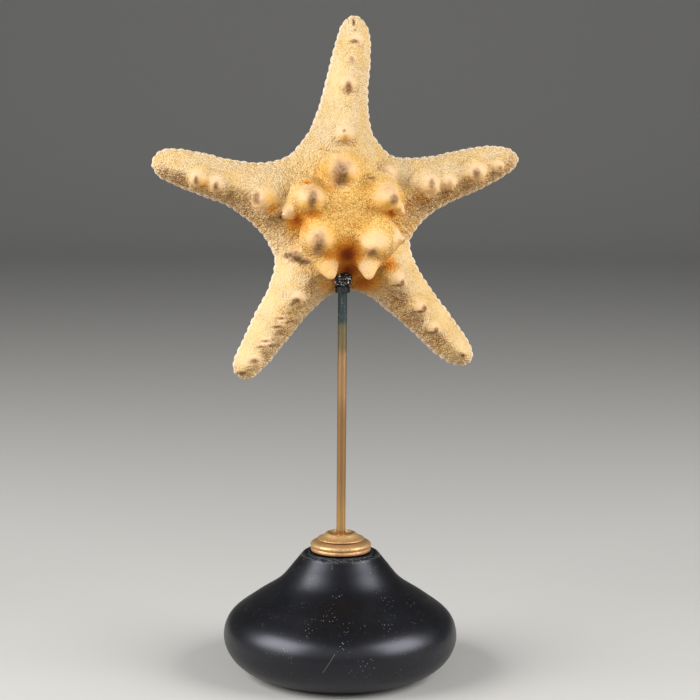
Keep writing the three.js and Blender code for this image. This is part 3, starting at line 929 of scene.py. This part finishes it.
# %% The hole drilled for the rod
# It is wider below, where the ferrule and the bead sit. Radius and height over the table, in mm.
DRILL = [(3.6, 163), (3.6, 172.3), (4.2, 173.2), (4.2, 176.2), (3.7, 177.4), (2.5, 178.6),
         (2.3, 187.3)]
drill = turn("drill", DRILL, sides=48)
drill.data.transform(STAR_TO_WORLD.inverted())
apply_modifier(star, "BOOLEAN", operation="DIFFERENCE", object=drill, solver="FAST")
bpy.data.objects.remove(drill)
remesh(star, SKIN_SQUARE)
print("drilled:", len(star.data.polygons), "faces")

# %% [markdown]
# The remesh leaves a sharp crease round each knob. A Smooth modifier turns the creases into
# fillets. It works by a vertex group that holds the tips back, so they don't melt away.

# %% Measures on the skin
def normals_of(piece):
    """The direction out of the skin at each point."""
    normals = np.empty(len(piece.data.vertices) * 3)
    piece.data.vertex_normals.foreach_get("vector", normals)
    return normals.reshape(-1, 3)


def weigh(piece, name, weights, levels=40):
    """A vertex group from one number per point, 0 to 1, in even levels."""
    group = piece.vertex_groups.new(name=name)
    level = np.round(np.clip(weights, 0, 1) * levels).astype(int)
    for i in range(1, levels + 1):
        group.add(np.flatnonzero(level == i).tolist(), i / levels, "REPLACE")


def knob_fields(spots):
    """How much each point belongs to a knob's foot, side and tip, each from 0 to 1."""
    foot_of_knob, side, tip = np.zeros((3, len(spots)))
    for _, seat, axis, radius, height in knobs:
        away = spots - np.array(seat)
        along = away @ np.array(axis)
        across = np.linalg.norm(away - along[:, None] * np.array(axis), axis=1)
        near = smoothstep(1.45, 0.75, across / radius)
        wide = smoothstep(2.1, 1.4, across / radius) * smoothstep(-0.6, -0.2, along / height)
        foot_of_knob = np.maximum(foot_of_knob, wide * smoothstep(0.55, 0.2, along / height))
        side = np.maximum(side, near * smoothstep(-0.05, 0.6, along / height))
        tip = np.maximum(tip, near * smoothstep(0.5, 1.0, along / height))
    return foot_of_knob, side, tip


def relaxed(piece, spots, rounds):
    """The points after each has moved many times to the middle of its neighbours."""
    pairs = np.empty(len(piece.data.edges) * 2, int)
    piece.data.edges.foreach_get("vertices", pairs)
    one, other = np.concatenate([pairs.reshape(-1, 2), pairs.reshape(-1, 2)[:, ::-1]]).T
    count = np.bincount(one, minlength=len(spots))
    for _ in range(rounds):
        spots = np.column_stack(
            [np.bincount(one, spots[other, i], len(spots)) / count for i in range(3)]
        )
    return spots


print("measures are ready")

# %% Softer joins round the knobs
foot_of_knob, side, tip = knob_fields(points_of(star) / MM)
weigh(star, "joins", foot_of_knob * (1 - tip))
weigh(star, "all_over", 1 - 0.8 * tip)
apply_modifier(star, "SMOOTH", factor=0.5, iterations=120, vertex_group="joins")
apply_modifier(star, "SMOOTH", factor=0.5, iterations=14, vertex_group="all_over")
print("smoothed", len(star.data.vertices), "points")

# %% [markdown]
# ## Plates, pores and granules
# The skin is a net of small plates. Along the margin they make two neat rows, one over the other.
# On the arms they lie like bricks between ridge and margin, with soft pore fields between them, and
# everything is covered with granules. The plates' middles are laid out on the sheet first. How far
# a point lies from the nearest two of them tells whether it is on a plate or between plates.

# %% Plates of the margin
PLATE = 3.5
spots = points_of(star) / MM
outward = normals_of(star)
edge_step = np.roll(edge, -1, axis=0) - np.roll(edge, 1, axis=0)
edge_way = edge_step / np.linalg.norm(edge_step, axis=1)[:, None]
edge_run = np.concatenate([[0], np.cumsum(np.linalg.norm(np.diff(edge, axis=0), axis=1))])


def nearest(tree_points, targets, count=1):
    """Index and distance of the nearest few tree points for each target."""
    tree = KDTree(len(tree_points))
    for i, p in enumerate(tree_points):
        tree.insert((*p, 0.0)[:3], i)
    tree.balance()
    found = [[(i, d) for _, i, d in tree.find_n((*t, 0.0)[:3], count)] for t in targets]
    found = np.array(found)
    return found[:, :, 0].astype(int), found[:, :, 1]


at_edge = nearest(edge, spots[:, :2])[0][:, 0]
from_edge = spots[:, :2] - edge[at_edge]
run = edge_run[at_edge] + np.sum(from_edge * edge_way[at_edge], axis=1)
inside = from_edge[:, 1] * edge_way[at_edge, 0] - from_edge[:, 0] * edge_way[at_edge, 1]
margin = smoothstep(3.0, 1.4, inside) * smoothstep(5.6, 3.8, np.abs(spots[:, 2]))
plate_dome = np.sqrt(np.abs(np.cos(math.pi * run / PLATE))) - 1
seam = -np.exp(-((spots[:, 2] / 0.55) ** 2))
print("points on the margin:", int(np.sum(margin > 0.5)))

# %% Middles of the plates on the arms
BRICK = 3.8
UNEVEN = 0.45
random = np.random.default_rng(7)
plate_middles = []
for first in range(0, len(edge), ARM_ROWS // 2):
    rows = np.arange(first, first + ARM_ROWS // 2)
    lengths = edge_run[rows]
    for n, at in enumerate(np.arange(lengths[0], lengths[-1], PLATE)):
        row = rows[np.argmin(np.abs(lengths - at))]
        width = np.linalg.norm(spine[row] - edge[row])
        count = max(int(width / BRICK), 1)
        for k in range(count):
            share = (k + (0.25 if n % 2 else 0.75)) / count
            plate_middles.append(sheet[int(round((1 - share) * (ROOF_COLUMNS - 1))), row])
plate_middles = np.array(plate_middles)
plate_middles += random.normal(0, UNEVEN, plate_middles.shape)
_, gaps = nearest(plate_middles, spots, 2)
between_plates = smoothstep(1.7, 0.2, gaps[:, 1] - gaps[:, 0])
print("plates:", len(plate_middles))

# %% What lies in hollows, under ridges and on knobs
calm = relaxed(star, outward, 25)
calm /= np.linalg.norm(calm, axis=1)[:, None]
bulged = relaxed(star, spots, 110)
hollow = np.sum((bulged - spots) * outward, axis=1)
front = smoothstep(-0.15, 0.2, calm[:, 2])
_, side, tip = knob_fields(spots)
off_knobs = 1 - 0.85 * side
below_ridge = smoothstep(0.0, -0.42, calm[:, 1]) * front
print("hollow, mm:", np.round(np.percentile(hollow, [1, 50, 99, 99.9]), 2))

# %% Relief of the plates
# Small dents between the plates: middle x and y, half width and half height in mm, and depth.
DENTS = [
    (-23.0, -38.6, 1.8, 1.2, 1.0), (-29.2, -45.4, 2.6, 0.6, 1.0), (-30.8, -49.3, 2.4, 0.6, 1.0),
    (-35.7, -55.2, 2.2, 0.6, 1.0), (-37.9, -57.9, 2.0, 0.6, 1.0), (-40.2, -64.2, 2.4, 0.9, 1.0),
    (-45.4, -69.3, 1.8, 0.9, 1.4), (-25.6, -43.4, 2.4, 0.6, 0.8), (-26.6, -47.4, 2.4, 0.6, 0.8),
    (-29.6, -52.6, 2.4, 0.6, 0.8), (-32.8, -57.4, 2.2, 0.6, 0.8), (20.6, -31.9, 2.8, 0.8, 1.2),
    (29.6, -43.1, 2.8, 0.8, 1.2), (36.0, -52.1, 2.2, 0.8, 1.1), (50.4, -62.0, 1.6, 1.0, 1.2),
    (3.2, 84.0, 0.6, 2.0, 1.6), (3.7, 79.8, 1.0, 0.7, 0.8), (2.9, 73.2, 2.0, 0.8, 1.0),
    (0.2, 51.6, 2.4, 1.0, 0.9), (9.4, 14.6, 2.4, 0.5, 0.8), (-8.6, 26.9, 4.0, 0.5, 0.4),
    (-17.8, 12.8, 2.6, 0.7, 0.9), (-63.0, 10.4, 3.0, 1.0, 0.8), (-55.4, 8.6, 2.6, 1.0, 0.8),
    (-36.0, 1.0, 4.0, 1.2, 0.8), (53.6, 13.6, 3.0, 1.0, 0.7), (35.0, 8.0, 3.4, 1.0, 0.7),
]


def spotted(places, field):
    """The strongest of many soft oval spots at each point, from 0 to 1."""
    strength = np.zeros(len(places))
    for x, y, half_wide, half_high, most in field:
        away = ((places[:, 0] - x) / half_wide) ** 2 + ((places[:, 1] - y) / half_high) ** 2
        strength = np.maximum(strength, most * np.exp(-away))
    return strength


rise = margin * (0.2 + 0.6 * plate_dome + 0.4 * seam)
rise -= 0.16 * between_plates * (1 - margin) * front * off_knobs * (0.4 + 0.6 * below_ridge)
rise -= 0.7 * spotted(spots, DENTS) * front
set_points(star, (spots + outward * rise[:, None]) * MM)
print("relief, mm:", np.round([rise.min(), rise.max()], 2))

# %% [markdown]
# ## Marks that the finish will read
# The colour of the skin follows its form, and much of it is painted shade. Hollows get a deep orange
# painted shade, and the sides that face down a golden one. The knobs are smooth and end in a worn
# mauve tip, and below each ridge the granules are brown, partly as painted shade. These marks are
# numbers on the points of the mesh, so the shader can read them as attributes. A few spots that
# follow no rule, such as a worn tip or the painted shadow under a hooked knob, are listed one by one.

# %% Worn spots with painted shadows, and spots of painted orange shade
# Middle x and y, half the width and height of each spot in mm, and its strength.
# Worn knob tips, and painted shadows under hooked knobs, in pits and in creases.
WEAR_AND_SHADOW_SPOTS = [
    (-4.2, 15.8, 4.0, 6.2, 0.9), (-4.6, 15.2, 2.0, 3.4, 1.0), (-3.4, 19.6, 5.2, 4.4, 0.44),
    (-16.0, 5.0, 2.7, 4.4, 0.82), (-17.0, 8.6, 3.8, 3.8, 0.4), (18.5, 5.0, 2.2, 2.4, 0.9),
    (15.6, 9.4, 4.8, 4.0, 0.34), (-13.6, -13.4, 4.1, 5.8, 0.64), (-14.0, -15.0, 1.9, 3.4, 0.85),
    (8.7, -16.8, 4.8, 2.4, 0.42), (9.2, -17.6, 2.3, 1.5, 0.8), (-39.5, 6.3, 1.6, 3.2, 0.95),
    (-40.6, 5.8, 3.0, 4.0, 0.3), (-56.8, 11.4, 1.5, 2.2, 0.75), (-65.2, 14.0, 1.2, 2.2, 0.85),
    (-66.2, 12.6, 2.0, 2.6, 0.35), (35.6, 12.4, 1.7, 2.6, 0.75), (55.2, 17.2, 1.9, 2.6, 0.75),
    (66.4, 20.0, 1.2, 1.4, 0.5), (43.6, 13.6, 1.2, 1.6, 0.4), (23.1, -30.0, 1.3, 1.5, 1.0),
    (21.6, -31.4, 1.6, 0.8, 1.0), (19.2, -31.6, 1.6, 0.6, 0.7), (32.8, -40.9, 1.3, 1.6, 1.0),
    (30.8, -42.6, 1.6, 0.8, 1.0), (28.4, -42.8, 1.6, 0.6, 0.7), (38.0, -50.4, 1.1, 1.5, 1.0),
    (36.4, -51.8, 1.5, 0.8, 0.9), (-22.6, -37.8, 1.9, 1.6, 1.0), (-24.0, -39.4, 1.5, 0.8, 0.8),
    (-29.2, -45.0, 2.6, 0.7, 0.8), (-31.2, -46.2, 1.2, 0.7, 0.6), (-30.8, -48.9, 2.4, 0.7, 0.8),
    (-35.7, -54.8, 2.2, 0.7, 0.75), (-37.9, -57.5, 2.0, 0.7, 0.75), (-40.2, -63.6, 2.3, 1.7, 0.8),
    (0.2, 54.2, 1.6, 3.4, 0.8), (1.6, 66.7, 1.3, 1.5, 0.6), (2.9, 74.3, 2.2, 1.1, 0.85),
    (-25.8, -18.0, 1.9, 1.4, 1.0), (-22.4, -19.8, 2.8, 1.5, 0.95), (-19.0, -21.0, 2.8, 1.3, 0.9),
    (23.8, -12.1, 1.3, 1.0, 0.8), (-28.8, -1.7, 1.4, 1.0, 0.85), (-45.4, -69.3, 2.1, 1.2, 0.95),
    (50.4, -62.0, 1.6, 1.3, 0.9), (3.7, 79.8, 1.1, 0.8, 0.6), (3.2, 83.6, 0.7, 2.0, 0.95),
    (-2.0, 34.9, 0.9, 0.9, 0.75), (-11.6, 27.8, 1.7, 0.45, 0.6), (-8.6, 27.0, 1.7, 0.45, 0.6),
    (-5.4, 25.8, 1.7, 0.45, 0.6), (9.4, 14.8, 2.2, 0.5, 0.8),
]
# Painted orange shade in the hollows and creases.
ORANGE_SHADE_SPOTS = [
    (-22.4, -3.6, 4.4, 3.8, 0.8), (-15.8, -0.8, 3.8, 2.8, 0.68), (18.0, 0.2, 3.6, 2.6, 0.85),
    (-0.8, -18.0, 6.4, 5.6, 1.0), (0.6, -24.5, 6.0, 5.0, 0.95), (7.0, -29.4, 7.5, 4.4, 0.82),
    (-8.6, -31.0, 5.0, 3.4, 0.42), (-5.0, -28.0, 3.6, 4.0, 0.8), (17.6, -22.0, 4.0, 4.2, 0.62),
    (-8.2, -18.4, 4.4, 3.6, 0.62), (-33.6, 2.0, 4.4, 2.8, 0.55), (31.6, 5.8, 5.4, 3.0, 0.22),
    (-1.8, 31.8, 2.2, 2.0, 0.4), (-18.0, 13.0, 3.2, 1.1, 0.6), (-8.0, 10.6, 3.6, 2.0, 0.4),
    (-62.4, 11.6, 2.6, 1.6, 0.5),
]
print("worn spots:", len(WEAR_AND_SHADOW_SPOTS), "orange spots:", len(ORANGE_SHADE_SPOTS))

# %% Spots of painted gold shade, of brown granules with painted shade, and of plain skin
# The same five numbers for each spot.
# Painted golden shade, mostly on the lower sides of knobs.
GOLD_SHADE_SPOTS = [
    (1.8, 23.6, 5.0, 3.0, 0.6), (-11.2, 18.0, 4.0, 5.0, 0.6), (23.0, 7.0, 3.6, 4.0, 0.6),
    (-12.0, 0.6, 5.0, 3.0, 0.7), (-22.0, -6.6, 4.0, 4.0, 0.7), (-8.0, -9.5, 3.0, 5.0, 0.6),
    (-33.4, 5.4, 2.8, 4.0, 0.85), (-62.2, 13.0, 2.4, 2.0, 0.8), (5.0, -5.5, 3.4, 4.5, 0.5),
    (17.6, 0.4, 4.6, 3.4, 0.95), (8.0, 10.0, 3.6, 4.0, 0.5), (-1.5, 31.0, 4.0, 3.0, 0.4),
    (-1.7, 31.6, 2.4, 2.2, 0.8), (14.0, -26.0, 6.0, 4.5, 0.7), (-10.0, -24.0, 6.0, 5.0, 0.6),
    (31.5, 9.0, 4.0, 4.0, 0.4), (33.0, -36.0, 8.0, 9.0, 0.25), (44.0, -51.0, 8.0, 8.0, 0.25),
    (44.0, 9.0, 9.0, 3.5, 0.35), (56.0, 14.6, 8.0, 3.0, 0.3),
]

# Fields of brown granules below the ridges of the side arms and under the knobs of the others,
# darkened partly as painted shade.
BROWN_AND_SHADE_SPOTS = [
    (-78.5, 16.0, 4.0, 3.0, 0.8), (-72.0, 13.8, 5.5, 3.2, 0.9), (-65.0, 9.8, 4.5, 2.8, 0.6),
    (-57.5, 7.6, 6.0, 3.6, 0.68), (-51.0, 5.2, 6.0, 4.0, 0.62), (-45.0, 2.0, 5.5, 4.5, 0.62),
    (-39.5, -1.6, 5.0, 4.5, 0.6), (-31.0, -4.5, 5.0, 4.0, 0.45), (34.0, 4.6, 7.0, 4.2, 1.0),
    (43.0, 8.4, 6.0, 3.6, 0.9), (51.0, 12.2, 5.0, 3.2, 0.7), (60.0, 16.6, 5.5, 3.4, 0.85),
    (67.0, 20.2, 5.0, 3.2, 1.0), (71.5, 24.0, 3.0, 3.0, 0.7), (25.5, 4.0, 5.0, 6.0, 0.5),
    (21.3, -37.0, 5.5, 4.6, 0.75), (28.2, -46.4, 5.0, 4.4, 0.7), (38.6, -55.2, 4.6, 3.6, 0.6),
    (33.0, -51.6, 4.0, 4.0, 0.45), (-26.5, -42.1, 3.0, 2.0, 0.75), (-25.2, -46.4, 3.4, 1.8, 0.8),
    (-28.2, -51.2, 3.8, 1.8, 0.75), (-32.1, -56.4, 3.6, 1.8, 0.7), (-35.4, -60.6, 3.0, 1.8, 0.65),
    (-17.5, -32.0, 4.0, 5.0, 0.8), (15.0, -32.0, 5.0, 3.6, 0.4), (-19.0, -25.0, 3.0, 3.0, 0.5),
]

# Places where the skin is worn plain.
PLAIN_SPOTS = [
    (-29.0, -24.0, 6.0, 9.0, 0.9), (-35.0, -37.0, 6.5, 9.0, 1.0), (-41.0, -49.0, 6.0, 8.0, 1.0),
    (-45.0, -60.0, 5.0, 8.0, 1.0), (-39.0, -67.5, 4.0, 3.0, 0.7), (34.0, -28.0, 5.0, 8.0, 0.7),
    (42.0, -42.0, 5.0, 8.0, 0.8), (50.0, -57.0, 5.0, 6.0, 0.7), (-4.0, 58.0, 5.0, 12.0, 0.8),
    (4.0, 76.0, 6.0, 7.0, 0.6), (-2.0, 42.0, 6.0, 4.0, 0.5), (27.0, -17.0, 4.0, 6.0, 0.6),
    (-30.0, -12.0, 5.0, 5.0, 0.5),
]
print("more spots:", [len(field) for field in (GOLD_SHADE_SPOTS, BROWN_AND_SHADE_SPOTS, PLAIN_SPOTS)])

# %% Marks on the points
def mark(piece, name, numbers):
    """A number on each point of a piece, which a shader reads as an attribute."""
    layer = piece.data.attributes.new(name, "FLOAT", "POINT")
    layer.data.foreach_set("value", np.clip(numbers, 0, 1).astype(np.float32))


DISC_MIDDLE = (-1.0, -1.0)
on_disc = smoothstep(34, 15, np.linalg.norm(spots[:, :2] - DISC_MIDDLE, axis=1))
# Worn tips and painted shadows.
mark(star, "wear_and_shadow", spotted(spots, WEAR_AND_SHADOW_SPOTS) * front)
# Painted orange shade: the listed spots and the deeper hollows, kept off the knobs.
hollow_shade = np.maximum(spotted(spots, ORANGE_SHADE_SPOTS), smoothstep(0.45, 1.4, hollow) * 0.5)
mark(star, "orange_shade", hollow_shade * front * (1 - 0.9 * smoothstep(0.35, 0.9, side)))
mark(star, "knob", side)
mark(star, "disc", on_disc * front)
# Brown granules below the ridges, darkened as painted shade on the sides that face down; the groove
# behind is brown too.
furrow = smoothstep(2.6, 1.2, np.linalg.norm(spots[:, :2] - spine[at_edge], axis=1)) * (1 - front)
under = 0.3 * below_ridge + 0.8 * spotted(spots, BROWN_AND_SHADE_SPOTS) * front
mark(star, "under", np.maximum(under * off_knobs, furrow))
plain = spotted(spots, PLAIN_SPOTS) * front
mark(star, "plain", plain)
mark(star, "pore", between_plates * off_knobs)
mark(star, "rim", smoothstep(1.3, 0.3, inside) * smoothstep(4.0, 2.6, np.abs(spots[:, 2])))
# Painted golden shade on the sides of knobs and disc that face down, and on the listed spots.
gold_shade = smoothstep(0.05, -0.75, calm[:, 1]) * (0.5 * side + 0.5 * on_disc)
mark(star, "gold_shade", np.maximum(gold_shade, spotted(spots, GOLD_SHADE_SPOTS)) * front)
print("marks:", [layer.name for layer in star.data.attributes if layer.data_type == "FLOAT"])

# %% Granules
rough = (0.55 + 0.3 * below_ridge + 0.15 * between_plates) * off_knobs
weigh(star, "grain", rough * (1 - 0.6 * margin) * (1 - 0.7 * plain))
weigh(star, "body", 0.35 + 0.65 * off_knobs)
displace(star, "lumps", "CLOUDS", 5.5, 0.8, mid_level=0.5, vertex_group="body")
displace(star, "granules", "VORONOI", 1.1, -0.7, mid_level=0.35, vertex_group="grain")
print("granules are on")

# %% [markdown]
# ## The pegs of the underside
# Behind, a groove runs from the mouth along each arm, where the living animal had its tube feet.
# Both banks carry rows of blunt pegs that can close over it. One peg is turned and copied along
# each bank, leaning over the groove, with a few longer ones at the five corners of the mouth.

# %% Rows of pegs along the grooves
PEG_OUTLINE = [(0.66, -1.0), (0.7, 0.0), (0.66, 0.9), (0.54, 1.6), (0.32, 2.0), (0.02, 2.15)]
PEG_STEP = 1.75
# Distance from the groove's middle, size, and lean towards the groove of each row on a bank.
BANKS = [(2.9, 1.0, 0.55), (4.7, 0.8, 0.15)]
BANK_START = 6.0
MOUTH_RADIUS = 5.2
# A corner of the mouth lies between the same point of two ridges. Size and lean of its pegs.
CORNER_POINT = 8
CORNER_TURNS = (-0.32, -0.11, 0.11, 0.32)
CORNER_PEG = (1.35, 0.9)
BEHIND = -1.5 * MM  # no peg stands where the underside is less deep than this
first_peg = turn("peg", PEG_OUTLINE, sides=8)
bpy.context.view_layer.update()


def seat_under(at, towards, size, lean):
    """Where a peg stands on the underside, its axis leaning some way, and its size."""
    hit, seat, _, _ = star.ray_cast(Vector((*at, -FAR)) * MM, Vector((0, 0, 1)))
    axis = Vector((towards[0] * lean, towards[1] * lean, -1)).normalized()
    return (seat, axis, size) if hit and seat.z < BEHIND else None


seats = []
for line in ridge_lines:
    steps = np.diff(line[:, :2], axis=0)
    length = np.concatenate([[0], np.cumsum(np.linalg.norm(steps, axis=1))])
    for bank in (-1, 1):
        for off, size, lean in BANKS:
            for at in np.arange(BANK_START + off, length[-1] - 0.5, PEG_STEP * size):
                i = min(int(np.searchsorted(length, at)) - 1, len(steps) - 1)
                way = steps[i] / np.linalg.norm(steps[i])
                across = np.array([-way[1], way[0]]) * bank
                middle = line[i, :2] + way * (at - length[i])
                narrow = min(1, 0.45 + (length[-1] - at) / 30)
                grown = size * random.normal(1, 0.05) * (0.7 + 0.3 * narrow)
                seats.append(seat_under(middle + across * off * narrow, -across, grown, lean))
for arm in range(ARMS):
    corner = ridge_lines[[arm, (arm + 1) % ARMS], CORNER_POINT, :2].sum(axis=0)
    corner /= np.linalg.norm(corner)
    for turned in CORNER_TURNS:
        way = np.array([corner[0] - turned * corner[1], corner[1] + turned * corner[0]])
        seats.append(seat_under(way * MOUTH_RADIUS, -way, *CORNER_PEG))
print("seats:", len(seats))

# %% All pegs in one piece
# A seat is None where a peg would miss the underside, as past the edge of an arm.
pegs = [set_copy(first_peg, seat, axis, (size,) * 3) for seat, axis, size in filter(None, seats)]
bpy.data.objects.remove(first_peg)
join(pegs)
spines = pegs[0]
spines.name = "furrow_spines"
spines.data.transform(STAR_TO_WORLD)
print("pegs:", len(pegs), "with", len(spines.data.polygons), "faces")

# %% [markdown]
# ## Fewer faces
# The remesh lays the same small squares everywhere, though the flat underside doesn't need them.
# Decimate merges faces where the form loses least, and a vertex group sends it mostly to the back,
# which keeps the knobs and the plates of the margin sharp.

# %% Fewer faces, in place and inside the box
FACE_LIMIT = 198_000
faces = 2 * len(star.data.polygons)  # a square is two triangles
if faces > FACE_LIMIT:
    weigh(star, "behind", (1 - 0.75 * front) * (1 - 0.9 * margin))
    apply_modifier(star, "DECIMATE", ratio=FACE_LIMIT / faces, vertex_group="behind",
                   vertex_group_factor=2.0)
star.data.transform(STAR_TO_WORLD)
star_low, star_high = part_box("starfish")
set_points(star, np.clip(points_of(star), star_low, star_high))
activate(star)
bpy.ops.object.shade_smooth()
print("starfish:", len(star.data.polygons), "faces")

# %% [markdown]
# ## The finish of the skin
# Dried skin over lime plates is matt, with cream on top and yellow where it is thick. The granules
# are about half a millimetre across and too fine for the mesh, so the shader draws them twice, as a
# stipple of brown gaps and as relief. The brown gaps are partly painted shade, and painted shade also
# lies orange in the hollows, golden on the sides that face down and dark under hooked knobs. Every
# blend below is one mask times one colour.

# %% Dried starfish skin
def dried_skin():
    """Granular cream skin with brown pores and worn mauve tips, and with painted shade: orange in the
    hollows, gold on the sides that face down, brown in the granule gaps and dark under hooked knobs.
    """
    paint = Paint("dried_skin", specular_ior_level=0.22)
    names = ("wear_and_shadow", "orange_shade", "knob", "disc", "under", "pore", "rim", "gold_shade", "plain")
    marks = {name: paint.attribute(name) for name in names}
    blotch = paint.noise(7 * MM, 4)
    clump = paint.noise(2.4 * MM, 3)
    fine = paint.noise(0.5 * MM, 3)
    grain = paint.cells(0.9 * MM)

    skin = paint.mix(blotch.step(0.3, 0.7), colour(209, 184, 143), colour(207, 173, 115))
    skin = paint.mix(marks["disc"] * 0.8, skin, colour(232, 188, 98))
    skin = paint.mix(marks["plain"] * 0.7, skin, colour(211, 184, 133))
    skin = paint.mix(marks["knob"] * 0.7, skin, colour(212, 177, 141))
    skin = paint.mix(marks["rim"] * 0.85, skin, colour(219, 200, 177))
    # Brown below the ridges: partly brown granules, partly painted shade.
    skin = paint.mix(marks["under"] * clump.step(0.3, 0.6) * 0.55, skin, colour(191, 136, 73))
    # Painted golden shade.
    skin = paint.mix(marks["gold_shade"] * 0.85, skin, colour(214, 160, 56))

    # The brown gaps between granules are partly the skin's own brown and partly painted shade in the
    # pits, densest where the skin faces down.
    density = marks["under"] * 0.72 + marks["disc"] * 0.34 + marks["pore"] * 0.1 + 0.15
    density = density * (clump * 0.9 + 0.55) * (1 - marks["knob"] * 0.8)
    density = density * (1 - marks["rim"] * 0.6) * (1 - marks["plain"] * 0.8)
    gap = (fine + grain * 0.1 - density * 0.1).step(0.58, 0.42)
    gap_brown_and_shade = paint.mix(marks["disc"], colour(119, 69, 21), colour(162, 88, 16))
    skin = paint.mix(gap * (density * 0.95 + 0.06), skin, gap_brown_and_shade)
    # Painted shade in the hollows, deepening from orange to a dark red-brown in the deepest.
    skin = paint.mix(marks["orange_shade"].step(0.05, 0.5) * 0.8, skin, colour(196, 124, 21))
    skin = paint.mix(marks["orange_shade"].step(0.35, 0.85) * 0.9, skin, colour(176, 86, 4))
    skin = paint.mix(marks["orange_shade"].step(0.7, 1.0) * 0.75, skin, colour(104, 32, 3))

    # Worn tips and painted shadows, with a paler halo round each.
    mottle = paint.noise(1.2 * MM, 4).step(0.25, 0.75)
    edge_noise = paint.noise(2.0 * MM, 3) * 0.5 - 0.25
    frayed = marks["wear_and_shadow"] + edge_noise * marks["wear_and_shadow"].step(0.05, 0.4)
    skin = paint.mix(frayed.step(0.02, 0.6) * 0.45, skin, colour(180, 140, 100))
    wear_and_shadow = paint.mix(mottle, colour(84, 54, 29), colour(136, 100, 68))
    skin = paint.mix(frayed.step(0.12, 0.85) * (mottle * -0.2 + 0.95), skin, wear_and_shadow)
    paint.feed("Base Color", skin)
    paint.feed("Roughness", 0.72 - marks["knob"] * 0.12 - marks["wear_and_shadow"] * 0.14 + gap * 0.1)

    relief = (grain * -1 + fine * 0.6) * (1 - marks["knob"] * 0.75) * (1 - marks["plain"] * 0.6)
    paint.feed("Normal", paint.bump(relief, 0.65 * MM, paint.bump(clump, 0.5 * MM)))
    return paint.material


skin_finish = dried_skin()
for piece in (star, spines):
    piece.data.materials.append(skin_finish)
    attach(piece, "root")
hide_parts("starfish")
print("starfish is dressed")

# %% [markdown]
# ## The boxes at the end
# The box of the pieces that are seen is printed, to set beside the box of the imported solids that
# was printed at the start.

# %% Print the visual box and finish
VISUAL_BOX = [list(corner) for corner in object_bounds()]
print("visual box, mm:", [[round(v / MM, 1) for v in corner] for corner in VISUAL_BOX])
